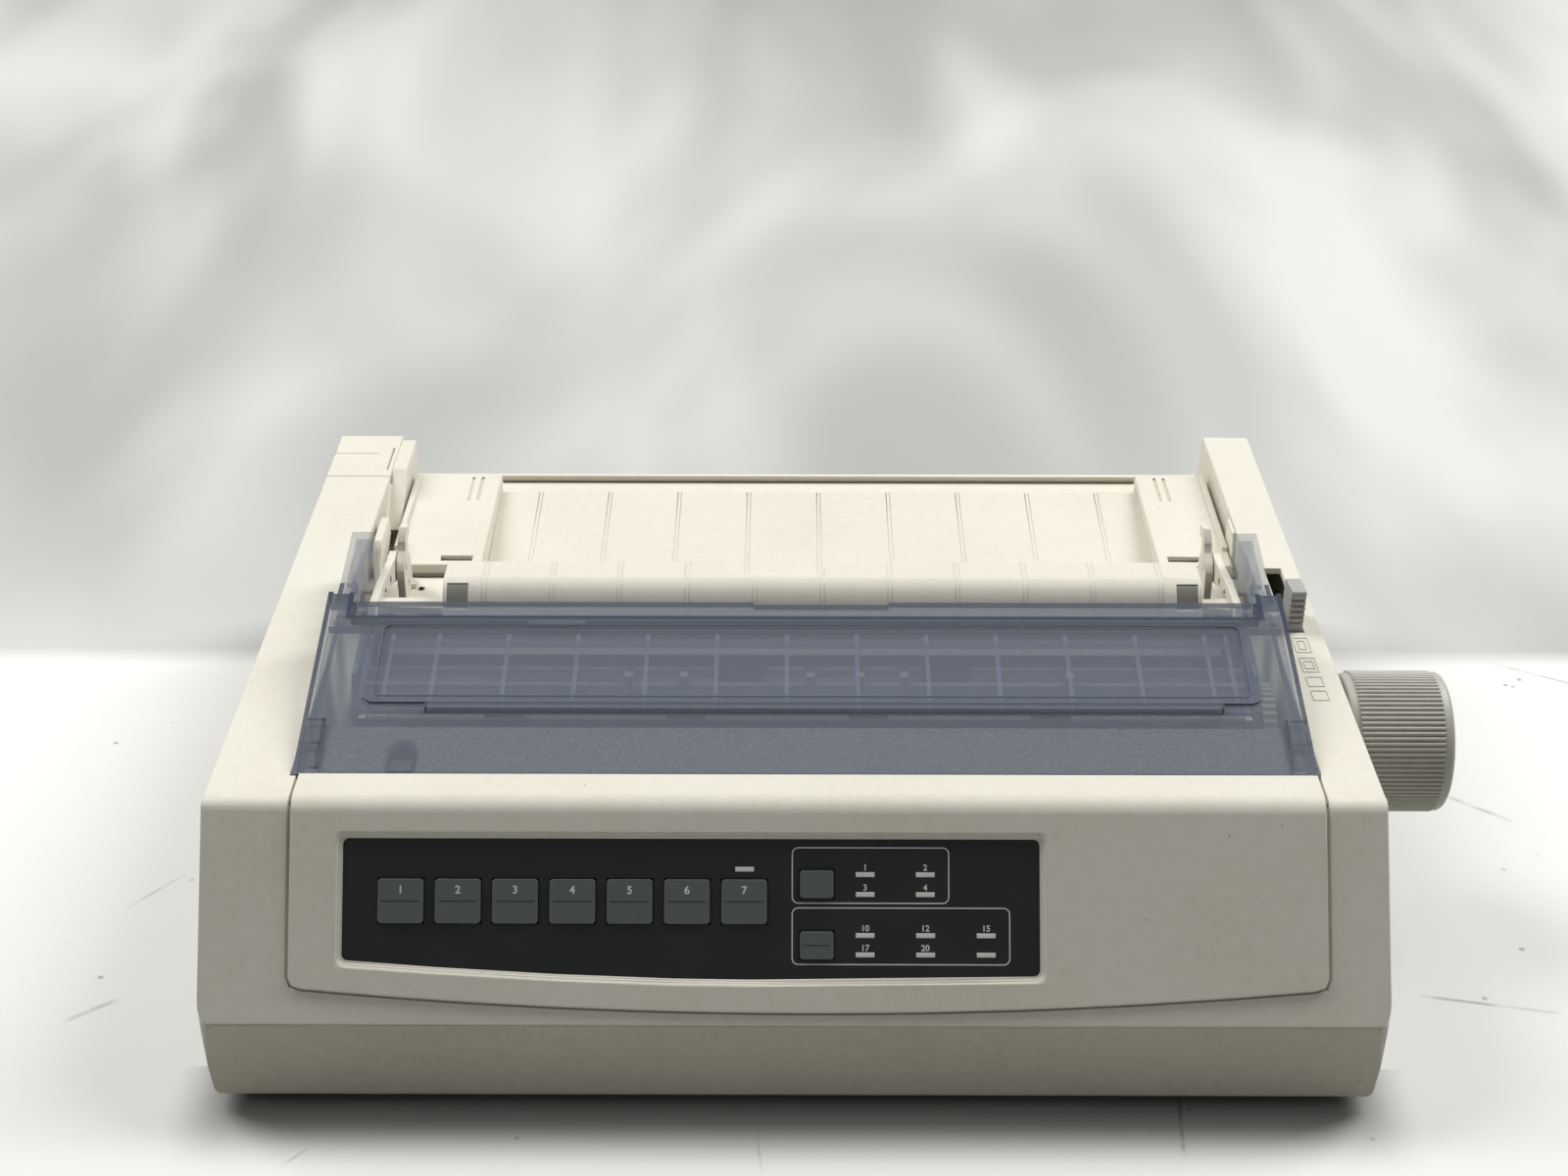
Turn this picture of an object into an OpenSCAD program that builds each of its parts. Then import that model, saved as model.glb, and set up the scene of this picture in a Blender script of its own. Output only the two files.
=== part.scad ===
// Desktop impact printer, 80 columns, nine pins. Millimetres, +Z up, front faces -Y, +X right.
// Inside the modules a point is given in the case's own frame: X from the case centre,
// Y and Z through yb() and zt(), behind and above the front edge of the rail tops. A block, rod
// or side_plate takes its Y and Z that way by itself.

/* [Case] */
// Width over the case sides, without the knob
body_w = 398; // [392:1:404]
// Depth from the nose to the back
body_d = 345; // [340:1:350]
// Height of the rail tops above the table
rail_top = 99; // [97:0.5:101]
// Height of the nose line, where the two case halves meet
nose_z = 37; // [36:0.5:38.5]
// Height of the lower case lip above the table
lip_z = 5.2; // [4.6:0.2:5.8]
// Run of the sloping front face
front_run = 41.5; // [40:0.5:43]
// Run of the leaning back face
back_run = 19.7; // [18:0.5:21]
// Lean of the lower case walls
lean = 2.5; // [2:0.1:3]
// Wall of the case mouldings
wall = 2.5; // [2.2:0.1:2.8]
// Width of the left rail
rail_l = 27; // [26:0.2:28]
// Width of the right rail
rail_r = 19.4; // [19:0.2:20.2]
// Radius of the upright case corners
corner_r = 5; // [3:0.5:7]
// Radius of the long front edge
edge_r = 4; // [3:0.5:5]
// Depth of the band in front of the cover
front_band = 15; // [14:0.5:15]
// Length of the plug over the connector bay
cap_l = 40.8; // [38:0.5:42]
// Height of the plug over the connector bay
cap_h = 22; // [20:0.5:24]

/* [Base] */
// Height of the rubber feet
foot_h = 2.2; // [1.8:0.2:2.6]
// Radius of the rubber feet
foot_r = 9; // [8:0.5:10]
// How far the base pan stands back from the lip
pan_in = 5; // [4:0.5:7]

/* [Fascia and panel] */
// Left edge of the fascia from the case centre
fascia_x0 = -168.5; // [-169.5:0.5:-167.5]
// Width of the fascia
fascia_w = 346.5; // [345:0.5:347]
// Stand of the fascia above the case
fascia_up = 1.2; // [1:0.1:1.6]
// Depth of the fascia below the case surface
fascia_dn = 1.6; // [1.4:0.1:1.8]
// Length of the fascia down the front face at its corners
fascia_h = 62.5; // [61:0.5:63.5]
// Rise of the arc along the fascia's lower edge
fascia_sag = 7.6; // [6:0.2:8]
// Groove round the fascia
fascia_gap = 1.3; // [1:0.1:1.5]
// Left edge of the recess for the panel
rec_x0 = -154; // [-155:0.5:-153]
// Width of the recess for the panel
rec_w = 239.2; // [238:0.2:240]
// Slope width round the panel
rec_in = 3; // [2.5:0.25:3.5]
// Depth of the recess from the fascia surface
rec_d = 2; // [1.8:0.1:2.2]
// Thickness of the panel overlay
panel_t = 1.2; // [1:0.1:1.4]
// Width of a large key
key_w = 15.3; // [15:0.1:15.8]
// Height of a large key
key_h = 14.8; // [14.4:0.1:15.2]
// Spacing of the large keys
key_pitch = 19.15; // [18.8:0.05:19.4]
// Stand of a key above the panel
key_up = 0.9; // [0.8:0.1:1.2]
// Key travel
key_travel = 0.5; // [0.4:0.05:0.6]
// Clearance round a key
key_gap = 0.3; // [0.25:0.05:0.4]

/* [Access cover] */
// Clearance between the cover and the rails
cover_gap = 0.8; // [0.6:0.1:1]
// Wall of the clear cover
cover_t = 2.2; // [2:0.1:2.4]
// Slope of the cover, degrees
cover_slope = 15; // [14.5:0.25:15.5]
// Depth from the cover's front edge to the end of its top sheet
cover_run = 73.4; // [72:0.2:74]
// How far the side strips run on behind the top sheet
horn_run = 12.4; // [11:0.2:13]
// Width of the side strips
strip_w = 9.7; // [9:0.1:10]
// Height of the cover hinge axis above the rail tops
hinge_z = -3; // [-4:0.5:-2]
// Distance of the cover hinge axis behind the rails' front edge
hinge_y = 151; // [150:0.5:152]
// Radius of the cover hinge pins
hinge_r = 2.5; // [2:0.1:2.8]
// Running clearance of every pin in its hole
run_gap = 0.1; // [0.05:0.01:0.1]
// Thickness of the foam pad
foam_t = 4; // [3:0.5:4.5]

/* [Separator] */
// Left end of the separator bar
bar_x0 = -132; // [-133:0.5:-131]
// Length of the separator bar
bar_w = 285; // [282:1:286]
// Depth of the separator bar
bar_d = 18.6; // [18:0.2:19]
// Height of the separator bar's top above the rail tops
bar_z = 18; // [17:0.5:18.5]
// Height of the separator bar's skirt
bar_h = 14; // [12:0.5:15]
// Distance of the separator pivot behind the rails' front edge
piv_y = 166; // [165:0.5:167]
// Radius of the separator pivot pins
piv_r = 2.5; // [2:0.1:2.6]
// Spacing of the grooves on the separator bar
bar_pitch = 25.4; // [25:0.1:25.8]

/* [Sheet table] */
// Width of the grooved plate
plate_w = 275; // [272:1:276]
// Slope of the grooved plate, degrees
plate_slope = 5.3; // [5:0.1:5.6]
// Spacing of the plate grooves
plate_pitch = 30; // [29:0.5:30.5]
// Depth of the sheet guides
pad_d = 81.5; // [80:0.5:82]
// Thickness of the sheet guides
pad_t = 4.4; // [4:0.1:4.6]
// Radius of the table's hinge pins
tab_r = 2; // [1.6:0.1:2]

/* [Platen and paper drive] */
// Radius of the rubber platen
platen_r = 14; // [13.5:0.1:14.2]
// Distance of the platen axis behind the rails' front edge
platen_y = 80; // [79.5:0.25:80.5]
// Depth of the platen axis below the rail tops
platen_z = 27; // [26.5:0.25:27.5]
// Radius of the platen shaft
shaft_r = 4; // [3.5:0.1:4.2]
// Radius of the knob
knob_r = 26; // [25:0.5:27]
// Reach of the knob beyond the case side
knob_reach = 39; // [37:0.5:41]
// Flutes round the knob
knob_flutes = 84; // [72:2:96]
// Gear module
gear_m = 1; // [0.95:0.05:1]

/* [Carriage] */
// Radius of the carriage shaft
bar_r = 5; // [4.5:0.1:5.2]
// Width of the ribbon cartridge
ribbon_w = 104; // [98:1:108]
// Radius of the belt pulleys
pulley_r = 8; // [7.5:0.1:8.2]
// Belt thickness
belt_t = 1.2; // [1:0.1:1.4]

/* [Lever] */
// Length of the lever slot
lever_slot = 50.2; // [49.5:0.2:51]
// Width of the lever
lever_w = 5.5; // [5:0.1:5.8]
// Height of the lever above the rail
lever_h = 17; // [15:0.5:18]

/* [Hidden] */
$fn = 48;
// nose line, front edge and back edge of the rail tops, half the width, and the rails' inner sides
yn = -body_d / 2;
y0 = yn + front_run;
y_back = body_d / 2 - back_run;
hw = body_w / 2;
xl = -hw + rail_l;
xr = hw - rail_r;
fall = rail_top - nose_z;
face_ang = atan2(fall, front_run);
skin = wall + fascia_dn;
floor_z = lip_z + wall;
fascia_x1 = fascia_x0 + fascia_w;
// keys and the block of lamps beside them, which share the panel's free width in three gaps
group_w = 65.35;
small_w = 11.3;
small_h = 9.2;
free_l = 11.9;
free_mid = 10.95;
free_r = 14.8;
panel_free = rec_w - 2 * rec_in - 6 * key_pitch - key_w - group_w;
free_share = panel_free / (free_l + free_mid + free_r);
key_x0 = rec_x0 + rec_in + free_l * free_share + key_w / 2;
key_v = -33.3;
group_x = key_x0 + 6 * key_pitch + key_w / 2 + free_mid * free_share + small_w / 2;
small_v = [-27.4, -47.7];
lamp_w = 6.3;
lamp_h = 1.6;
lamp_at = concat([[key_x0 + 6 * key_pitch - 3.05, -23.3]],
    [for (q = [[0, 0], [1, 0], [0, 1], [1, 1]]) [group_x + 13 + 20.1 * q[0], -25 - 6.6 * q[1]]],
    [for (q = [[0, 0], [1, 0], [2, 0], [0, 1], [1, 1], [2, 1]]) [group_x + 13 + 20.2 * q[0],
    -45.2 - 6.4 * q[1]]]);
p_top = fascia_up - rec_d;
// side frames, and how far back the case's top reaches
frame_l = xl + 12;
frame_r = xr - 11.6;
frame_t = 2;
back_y = body_d - front_run - back_run;
// access cover: its sides, its front edge, and the ends of its top sheet and side strips
cx0 = xl + cover_gap;
cx1 = xr - cover_gap;
cy0 = front_band + 0.3;
cy1 = cy0 + cover_run;
cy2 = cy1 + horn_run;
// separator bar and grooved plate, left to right
bar_mid = bar_x0 + bar_w / 2;
bar_x1 = bar_x0 + bar_w;
plate_x0 = bar_mid - plate_w / 2;
plate_x1 = bar_mid + plate_w / 2;
// sheet table: hinge axis, the wings under the guides, the grooved plate and the guides
tab_y = 187;
tab_z = -16.2;
wing_x0 = plate_x0 - 37.3;
wing_y0 = 185.4;
wing_y1 = back_y - 20.3;
wing_z = -14.6;
wing_t = 2.4;
web_t = 1.6;
plate_y0 = 190;
plate_y1 = back_y - 25.8;
plate_z0 = -21.3;
table_t = 2;
groove_y0 = 195;
pad_y0 = 183.2;
pad_y1 = pad_y0 + pad_d;
pad_z = wing_z + 0.2;
// rear deck: front of the deck, wall of the step down behind it, floor of the well
deck_z = -15;
deck_t = 2.2;
deck_y0 = 158.5;
step_y0 = 178.8;
step_y1 = 181;
well_z = -25;
well_t = 2;
// paper lever: its pivot, the two ends of its grip and the slot it moves in
lev_x = hw - 10.15;
lev_y = 136;
lev_z = -62;
lev_pin_r = 3;
grip_y0 = 114;
grip_y1 = 127.6;
slot_y0 = grip_y0 - 1.2;
// knob flutes and the gear train on the right side frame
flute_d = 0.9;
gear_x = frame_r + 2;
gear_t = 5;
// tooth counts, which set the ratios of the joints in the record
teeth_platen = 42;
teeth_idler = 24;
teeth_pinion = 10;
platen_pitch_r = gear_m * teeth_platen / 2;
idler_pitch_r = gear_m * teeth_idler / 2;
pinion_pitch_r = gear_m * teeth_pinion / 2;
idler_at = [platen_y + (platen_pitch_r + idler_pitch_r) * cos(60),
    -platen_z - (platen_pitch_r + idler_pitch_r) * sin(60)];
pinion_at = [idler_at[0] + (idler_pitch_r + pinion_pitch_r) * cos(45),
    idler_at[1] - (idler_pitch_r + pinion_pitch_r) * sin(45)];
idler_r = 3;
// carriage at rest, its shaft, and the belt's run
car_x = 5;
car_y = 44;
car_z = -62;
belt_y = 22;
belt_z = 26;
pulley_x0 = -140;
pulley_x1 = 150;
// paper bail: its rod and its pivot
bail_r = 2;
bail = [platen_y - (platen_r + 5.3) * cos(55), -platen_z + (platen_r + 5.3) * sin(55)];
bail_pivot = [96, -15];
// profile of the upper case, seen from the right
case_pts = [[yn, nose_z], [body_d / 2, nose_z], [y_back, rail_top], [y0, rail_top]];
// screw bosses that hold the case halves together
boss_x = hw - 23;
boss_y = -yn - 20.5;
boss_r = 5;
screw_r = 1.6;
// mains inlet, data port and rocker switch, from the back wall inward
inlet_w = 27;
inlet_h = 20;
inlet_x0 = hw - 69;
inlet_z0 = 11;
port_w = 66;
port_h = 15;
port_x0 = 69 - hw;
port_z0 = 14;
switch_y = -yn - 54.5;
switch_z = 22;
// main board, just behind the side frames
frame_y1 = 156;
board_x0 = -168;
board_x1 = 80;
board_y0 = yb(frame_y1 + 2);
board_y1 = -yn - 34.5;
board_z = floor_z + 6;
board_t = 1.6;
// cover: its sheet measured upright, and the window's ends
sheet_t = cover_t / cos(cover_slope);
win_x0 = -151.7;
win_x1 = 164.2;
// separator: front of the bar and its two arms
bar_y0 = 116.2;
arm_l = xl + 11.8;
arm_r = xr - 14.2;
arm_t = 3;
// pull-up rods, the posts that carry them, and the rollers on the upper rod
rod_a = [83, 0.2];
rod_b = [76.6, -1.6];
post_x = [-60, -40, 6, 24, 40, 100];
roller_x = [-28, 47];
// back and front edge of the clear tear bar
tear_back = [93, 10.4];
tear_front = [55, 0.9];
// each gear's angle, so that its space faces the tooth of the gear before it
platen_off = near_tooth(-60, teeth_platen, 0);
idler_turn = 120 + 180 / teeth_idler + platen_off * teeth_platen / teeth_idler;
idler_off = near_tooth(-45, teeth_idler, idler_turn);
pinion_turn = 135 + 180 / teeth_pinion + idler_off * teeth_idler / teeth_pinion;

function yb(v) = y0 + v;
function zt(v) = rail_top + v;
function unit(v) = v / norm(v);
// arc of radius r in the corner b between a and c
function fillet(a, b, c, r, n = 4) =
    let (u = unit(a - b), w = unit(c - b), h = acos(u * w) / 2, t = r / tan(h),
         o = b + unit(u + w) * (r / sin(h)), s = b + u * t, e = b + w * t,
         a0 = atan2(s[1] - o[1], s[0] - o[0]), a1 = atan2(e[1] - o[1], e[0] - o[0]),
         da = ((a1 - a0 + 540) % 360) - 180)
    [for (i = [0:n]) o + r * [cos(a0 + da * i / n), sin(a0 + da * i / n)]];
// outline with its corners rounded by the radii in rs, 0 for a sharp one
function rounded(p, rs) = let (n = len(p))
    [for (i = [0:n - 1]) each (rs[i] > 0 ? fillet(p[(i + n - 1) % n], p[i], p[(i + 1) % n],
        rs[i]) : [p[i]])];
function rounded_box(x0, y0, x1, y1, r) =
    rounded([[x0, y0], [x1, y0], [x1, y1], [x0, y1]], [r, r, r, r]);
// counter-clockwise convex outline moved inward by d
function inset(p, d) = let (n = len(p))
    [for (i = [0:n - 1]) let (e = unit(p[i] - p[(i + n - 1) % n]), f = unit(p[(i + 1) % n] - p[i]),
         s = [-e[1], e[0]], t = [-f[1], f[0]]) p[i] + d * (s + t) / (1 + s * t)];
function yz(p) = [for (q = p) [yb(q[0]), zt(q[1])]];

module centred() translate([-knob_reach / 2, 0, 0]) children();
module along_x(x0, x1) translate([x0, 0, 0]) rotate([90, 0, 90]) linear_extrude(x1 - x0) children();
module side_plate(x0, x1, p) along_x(x0, x1) polygon(yz(p));
module along_y(y0, y1) translate([0, y1, 0]) rotate([90, 0, 0]) linear_extrude(y1 - y0) children();
module box(a, c) translate(a) cube([c[0] - a[0], c[1] - a[1], c[2] - a[2]]);
// box with Y and Z given behind and above the rail edge
module block(x0, x1, y0, y1, z0, z1) box([x0, yb(y0), zt(z0)], [x1, yb(y1), zt(z1)]);
module rod_x(x0, x1, y, z, r)
    translate([x0, yb(y), zt(z)]) rotate([0, 90, 0]) cylinder(r = r, h = x1 - x0);
module rod_z(x, y, z0, z1, r) translate([x, y, z0]) cylinder(r = r, h = z1 - z0);
// frame on the sloping front face: Y up the slope, Z outward
module face() translate([0, y0, rail_top]) rotate([face_ang, 0, 0]) children();
module plate(z0, z1) translate([0, 0, z0]) linear_extrude(z1 - z0) children();

module plan_prism(r, z0, z1) plate(z0, z1) polygon(rounded_box(-hw, -body_d / 2, hw, body_d / 2, r));

// ---------------- base and lower case
module lower_case_walls() {
    difference() {
        intersection() {
            along_x(-hw, hw) polygon([[yn + lean, lip_z], [body_d / 2 - lean, lip_z],
                [body_d / 2, nose_z], [yn, nose_z]]);
            along_y(yn, body_d / 2) polygon(rounded([[-hw + lean, lip_z], [hw - lean, lip_z],
                [hw, nose_z], [-hw, nose_z]], [3, 3, 0, 0]));
            plan_prism(corner_r, 0, nose_z + 1);
        }
        box([-hw + lean + wall, yn + lean + wall, floor_z],
            [hw - lean - wall, -yn - lean - wall, nose_z + 1]);
        // power inlet, data port and switch openings
        box([inlet_x0 - 0.3, -yn - 12, inlet_z0 - 0.3],
            [inlet_x0 + inlet_w + 0.3, -yn + 1, inlet_z0 + inlet_h + 0.3]);
        box([port_x0 - 0.3, -yn - 12, port_z0 - 0.3],
            [port_x0 + port_w + 0.3, -yn + 1, port_z0 + port_h + 0.3]);
        box([hw - 12, switch_y - 10.3, switch_z - 6.8], [hw + 1, switch_y + 10.3, switch_z + 6.8]);
        for (x = [-1, 1], y = [-1, 1]) rod_z(x * boss_x, y * boss_y, 0, nose_z + 1, screw_r);
    }
}
module lower_case() color("#6B675C") centred() {
    lower_case_walls();
    for (x = [-1, 1], y = [-1, 1]) difference() {
        rod_z(x * boss_x, y * boss_y, floor_z, nose_z - 0.2, boss_r);
        rod_z(x * boss_x, y * boss_y, 0, nose_z + 1, screw_r);
    }
    // ribs on the floor and posts under the board
    for (x = [-150:60:150]) box([x, yn + lean + wall + 3, floor_z], [x + 1.6, y0 + 0.5, floor_z + 4]);
    for (x = [board_x0 + 3, board_x1 - 10], y = [board_y0 + 3, board_y1 - 10])
        box([x, y, floor_z], [x + 6, y + 6, board_z]);
}

module base_pan() color("#4A4A46") centred() difference() {
    plate(foot_h, lip_z) polygon(rounded_box(-hw + lean + pan_in, yn + lean + pan_in, hw - lean - pan_in,
        -yn - lean - pan_in, 8));
    // vent slots
    for (i = [0:13], y = [20, 60, 100])
        box([-120 + 17 * i, y, foot_h - 1], [-112 + 17 * i, y + 26, lip_z + 1]);
    for (x = [-1, 1], y = [-1, 1]) rod_z(x * boss_x, y * boss_y, 0, lip_z + 1, screw_r);
}

module rubber_feet() color("#2A2A2A") centred()
    for (x = [-1, 1], y = [-1, 1]) translate([x * (hw - 34), y * (body_d / 2 - 34), 0]) difference() {
        cylinder(r = foot_r, h = foot_h);
        translate([0, 0, -0.1]) cylinder(r = foot_r / 3, h = foot_h / 2);
    }

module case_screws() color("#8A8A86") centred() for (x = [-1, 1], y = [-1, 1]) difference() {
        union() {
            rod_z(x * boss_x, y * boss_y, foot_h - 1.4, foot_h, 3.2);
            rod_z(x * boss_x, y * boss_y, foot_h, nose_z - 2, screw_r - 0.1);
        }
        // cross recess
        translate([x * boss_x, y * boss_y, foot_h - 1.4]) {
            cube([4.4, 0.8, 1.2], center = true);
            cube([0.8, 4.4, 1.2], center = true);
        }
    }

// ---------------- upper case
module rails_solid(r) intersection() {
    along_x(-hw, hw) polygon(rounded(case_pts, [0, 0, 3, r]));
    plan_prism(corner_r, 0, rail_top + 1);
}
// hollow of a rail, open below
function hollow_pts(d) = let (q = inset(case_pts, d))
    [[q[0][0] + d * 0.2, nose_z - 1], [q[1][0], nose_z - 1], q[2], q[3]];
// band of the front face and front edge between two offsets from the case surface
module front_band_prism(x0, x1, dn, up, back) along_x(x0, x1) difference() {
    polygon([[yn - up * 3 - 4, nose_z - 6], [yb(back), nose_z - 6], [yb(back), rail_top + up],
        each fillet([yb(back), rail_top + up], [yb(-up * 0.62), rail_top + up],
        [yb(-up * 0.62) - front_run, rail_top + up - fall], edge_r + up, 6),
        [yb(-up * 0.62) - front_run * 1.1, rail_top + up - fall * 1.1]]);
    polygon([[yn - 40, nose_z - 60], [yb(back + 1), nose_z - 60], [yb(back + 1), rail_top - dn],
        each fillet([yb(back), rail_top - dn], [yb(dn * 0.62), rail_top - dn],
        [yb(dn * 0.62) - front_run, rail_top - dn - fall], max(edge_r - dn, 1), 6),
        [yb(dn * 0.62) - front_run * 2, rail_top - dn - fall * 2]]);
}
// outline of the fascia in the face frame, grown by g
function arc_low(x0, x1, v, sag, n) = let (c = (x0 + x1) / 2, h = (x1 - x0) / 2,
    r = (h * h + sag * sag) / (2 * sag))
    [for (i = [0:n]) let (x = x0 + (x1 - x0) * i / n) [x, v - sag + r - sqrt(r * r - (x - c) * (x - c))]];
function fas_pts(g) = let (lo = arc_low(fascia_x0 + 4.5, fascia_x1 - 4.5, -fascia_h - 0.6 * g,
    fascia_sag - 0.1, 24))
    concat([[fascia_x0 - g, 30], [fascia_x0 - g, -fascia_h + 4], [fascia_x0 - g * 0.8 + 1.2,
        -fascia_h + 1.2 - 0.5 * g]],
           lo, [[fascia_x1 + g * 0.8 - 1.2, -fascia_h + 1.2 - 0.5 * g], [fascia_x1 + g, -fascia_h + 4],
               [fascia_x1 + g, 30]]);

module upper_case() color("#EFEBDD") centred() difference() {
    union() {
        difference() {
            rails_solid(edge_r);
            along_x(-hw + wall, xl - wall) polygon(hollow_pts(wall));
            along_x(xr + wall, hw - wall) polygon(hollow_pts(wall));
            // bay between the rails, under the front skin
            intersection() {
                along_x(xl, xr) polygon(hollow_pts(wall));
                face() box([-hw, -200, -300], [hw, 400, -skin]);
            }
            block(xl, xr, front_band, 320, deck_z - 1.5, 40);
            // plug over the connector bay
            block(-hw - 1, xl + 1, back_y - cap_l, 320, -cap_h, 20);
        }
        // ledge for the cover's front lip
        block(xl, xr, front_band - 3, front_band + 4.5, -10.5, -8);
        // inner ridge of the left rail
        side_plate(xl, xl + 6.6, [[back_y - 61.8, deck_z], [back_y - 33.8, 0], [back_y - 5.8, 0],
            [back_y - 5.8, deck_z - 2]]);
        // curbs outside the cover's hinge ears
        block(xl - 2.2, xl, 146, 172, -0.1, 2);
        block(xr, xr + 2.2, 146, 172, -0.1, 2);
        // screw bosses down to the lower case
        for (x = [-1, 1], y = [-1, 1]) difference() {
            rod_z(x * boss_x, y * boss_y, nose_z, nose_z + 12, boss_r);
            rod_z(x * boss_x, y * boss_y, nose_z - 1, nose_z + 13, screw_r);
        }
    }
    // seat of the fascia
    intersection() {
        front_band_prism(fascia_x0 - fascia_gap, fascia_x1 + fascia_gap, fascia_dn, 8, front_band + 1);
        face() plate(-40, 20) polygon(fas_pts(fascia_gap));
    }
    // opening behind the panel
    face() plate(-30, 2) polygon([[rec_x0 - 1, -60.8], [rec_x0 + rec_w + 1, -60.8],
        [rec_x0 + rec_w + 1, -8], [rec_x0 - 1, -8]]);
    // lever slot
    block(lev_x - 0.6 - lever_w / 2, lev_x + 0.6 + lever_w / 2, slot_y0, slot_y0 + lever_slot, -wall - 1,
        1);
    // pin and shaft holes
    rod_x(xl - wall - 1, xl + 1, hinge_y, hinge_z, hinge_r + run_gap);
    rod_x(xr - 1, xr + wall + 1, hinge_y, hinge_z, hinge_r + run_gap);
    rod_x(xr - 1, hw + 1, platen_y, -platen_z, shaft_r + run_gap);
    rod_x(xr - 1, xr + wall + 1, tab_y, tab_z, tab_r + run_gap);
    rod_x(xr - 1, xr + wall + 1, lev_y, lev_z, lev_pin_r + run_gap);
    // vent slots in the back wall
    for (i = [0:9]) box([-90 + 18 * i, -yn - 22.5, nose_z + 6], [-80 + 18 * i, -yn + 8, nose_z + 22]);
}

module rail_cap() color("#EDE9DA") centred() difference() {
    intersection() {
        rails_solid(edge_r);
        block(-hw - 1, xl, back_y - cap_l + 0.2, 320, -cap_h + 0.2, 20);
    }
    along_x(-hw + 2, xl - 2) polygon(inset([[yb(back_y - cap_l + 0.2), zt(-cap_h - 4)],
        [yb(back_y + cap_h * 0.3 + 1.3), zt(-cap_h - 4)], [y_back, rail_top],
        [yb(back_y - cap_l + 0.2), rail_top]], 2));
    block(xl - 2.4, xl - 1.7, back_y - 34.8, back_y - 13.8, -1.5, 1);
    block(-hw - 1, xl - 8, back_y - 19.2, back_y - 18.8, -0.4, 1);
}

// ---------------- fascia, panel, keys
module pocket(grow, z0, z1) plate(z0, z1) polygon(concat(fillet([rec_x0 + rec_in - grow, -60],
    [rec_x0 + rec_in - grow, -12.4 + grow], [60, -12.4 + grow], 2),
    fillet([0, -12.4 + grow], [rec_x0 + rec_w - rec_in + grow, -12.4 + grow],
    [rec_x0 + rec_w - rec_in + grow, -60], 2), fillet([rec_x0 + rec_w - rec_in + grow, 0],
    [rec_x0 + rec_w - rec_in + grow, -57.8 - grow], [20, -59.6 - grow], 2),
    [[-15, -59.1 - grow], [-40, -58.8 - grow], [-80, -57.4 - grow], [-120, -55.2 - grow]],
    fillet([-120, -55.2 - grow], [rec_x0 + rec_in - grow, -53 - grow], [rec_x0 + rec_in - grow, 0], 2)));

module key_at(i) translate([key_x0 + key_pitch * i, key_v, 0]) children();
module key_holes(g, z0, z1) {
    for (i = [0:6]) key_at(i) plate(z0, z1) square([key_w + 2 * g, key_h + 2 * g], center = true);
    for (i = [0, 1]) small_at(i) plate(z0, z1) square([small_w + 2 * g, small_h + 2 * g], center = true);
}
module small_at(i) translate([group_x, small_v[i], 0]) children();

module control_fascia() color("#F2EEE0") centred() difference() {
    union() {
        intersection() {
            front_band_prism(fascia_x0, fascia_x1, fascia_dn, fascia_up, front_band);
            face() plate(-40, 20) polygon(fas_pts(0));
        }
        // tray behind the panel
        face() plate(-4.6, -fascia_dn) polygon(rounded_box(rec_x0, -60.2, rec_x0 + rec_w, -9, 2));
    }
    face() {
        pocket(0, p_top - panel_t, 20);
        pocket(rec_in * 0.35, p_top + rec_d * 0.34, 20);
        pocket(rec_in * 0.7, p_top + rec_d * 0.67, 20);
        key_holes(key_gap, -10, 20);
        for (p = lamp_at) translate([p[0], p[1], 0]) plate(-10, 20) square([lamp_w, lamp_h]);
    }
}

module control_panel() color("#1F2223") centred() face() difference() {
    intersection() {
        pocket(-0.05, p_top - panel_t, p_top);
        plate(-10, 20) polygon([[-200, -80], [200, -80], [200, 0], [-200, 0]]);
    }
    key_holes(key_gap, -10, 20);
    for (p = lamp_at) translate([p[0], p[1], 0]) plate(-10, 20) square([lamp_w, lamp_h]);
}

module panel_lamps() color("#A9A9A5") centred()
    face() for (p = lamp_at) translate([p[0], p[1], -9.4]) cube([lamp_w, lamp_h, p_top + 9.4 + 0.1]);

module key_body(w, h, r) {
    plate(-6, p_top + key_up) polygon(rounded_box(-w / 2, -h / 2, w / 2, h / 2, r));
    plate(-8.2, -6) square([6, 6], center = true);
}
module key_1() color("#5E6566") centred() face() key_at(0) key_body(key_w, key_h, 1.2);
module key_2() color("#5E6566") centred() face() key_at(1) key_body(key_w, key_h, 1.2);
module key_3() color("#5E6566") centred() face() key_at(2) key_body(key_w, key_h, 1.2);
module key_4() color("#5E6566") centred() face() key_at(3) key_body(key_w, key_h, 1.2);
module key_5() color("#5E6566") centred() face() key_at(4) key_body(key_w, key_h, 1.2);
module key_6() color("#5E6566") centred() face() key_at(5) key_body(key_w, key_h, 1.2);
module key_7() color("#5E6566") centred() face() key_at(6) key_body(key_w, key_h, 1.2);
module key_8() color("#5E6566") centred() face() small_at(0) key_body(small_w, small_h, 1);
module key_9() color("#5E6566") centred() face() small_at(1) key_body(small_w, small_h, 1);

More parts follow.
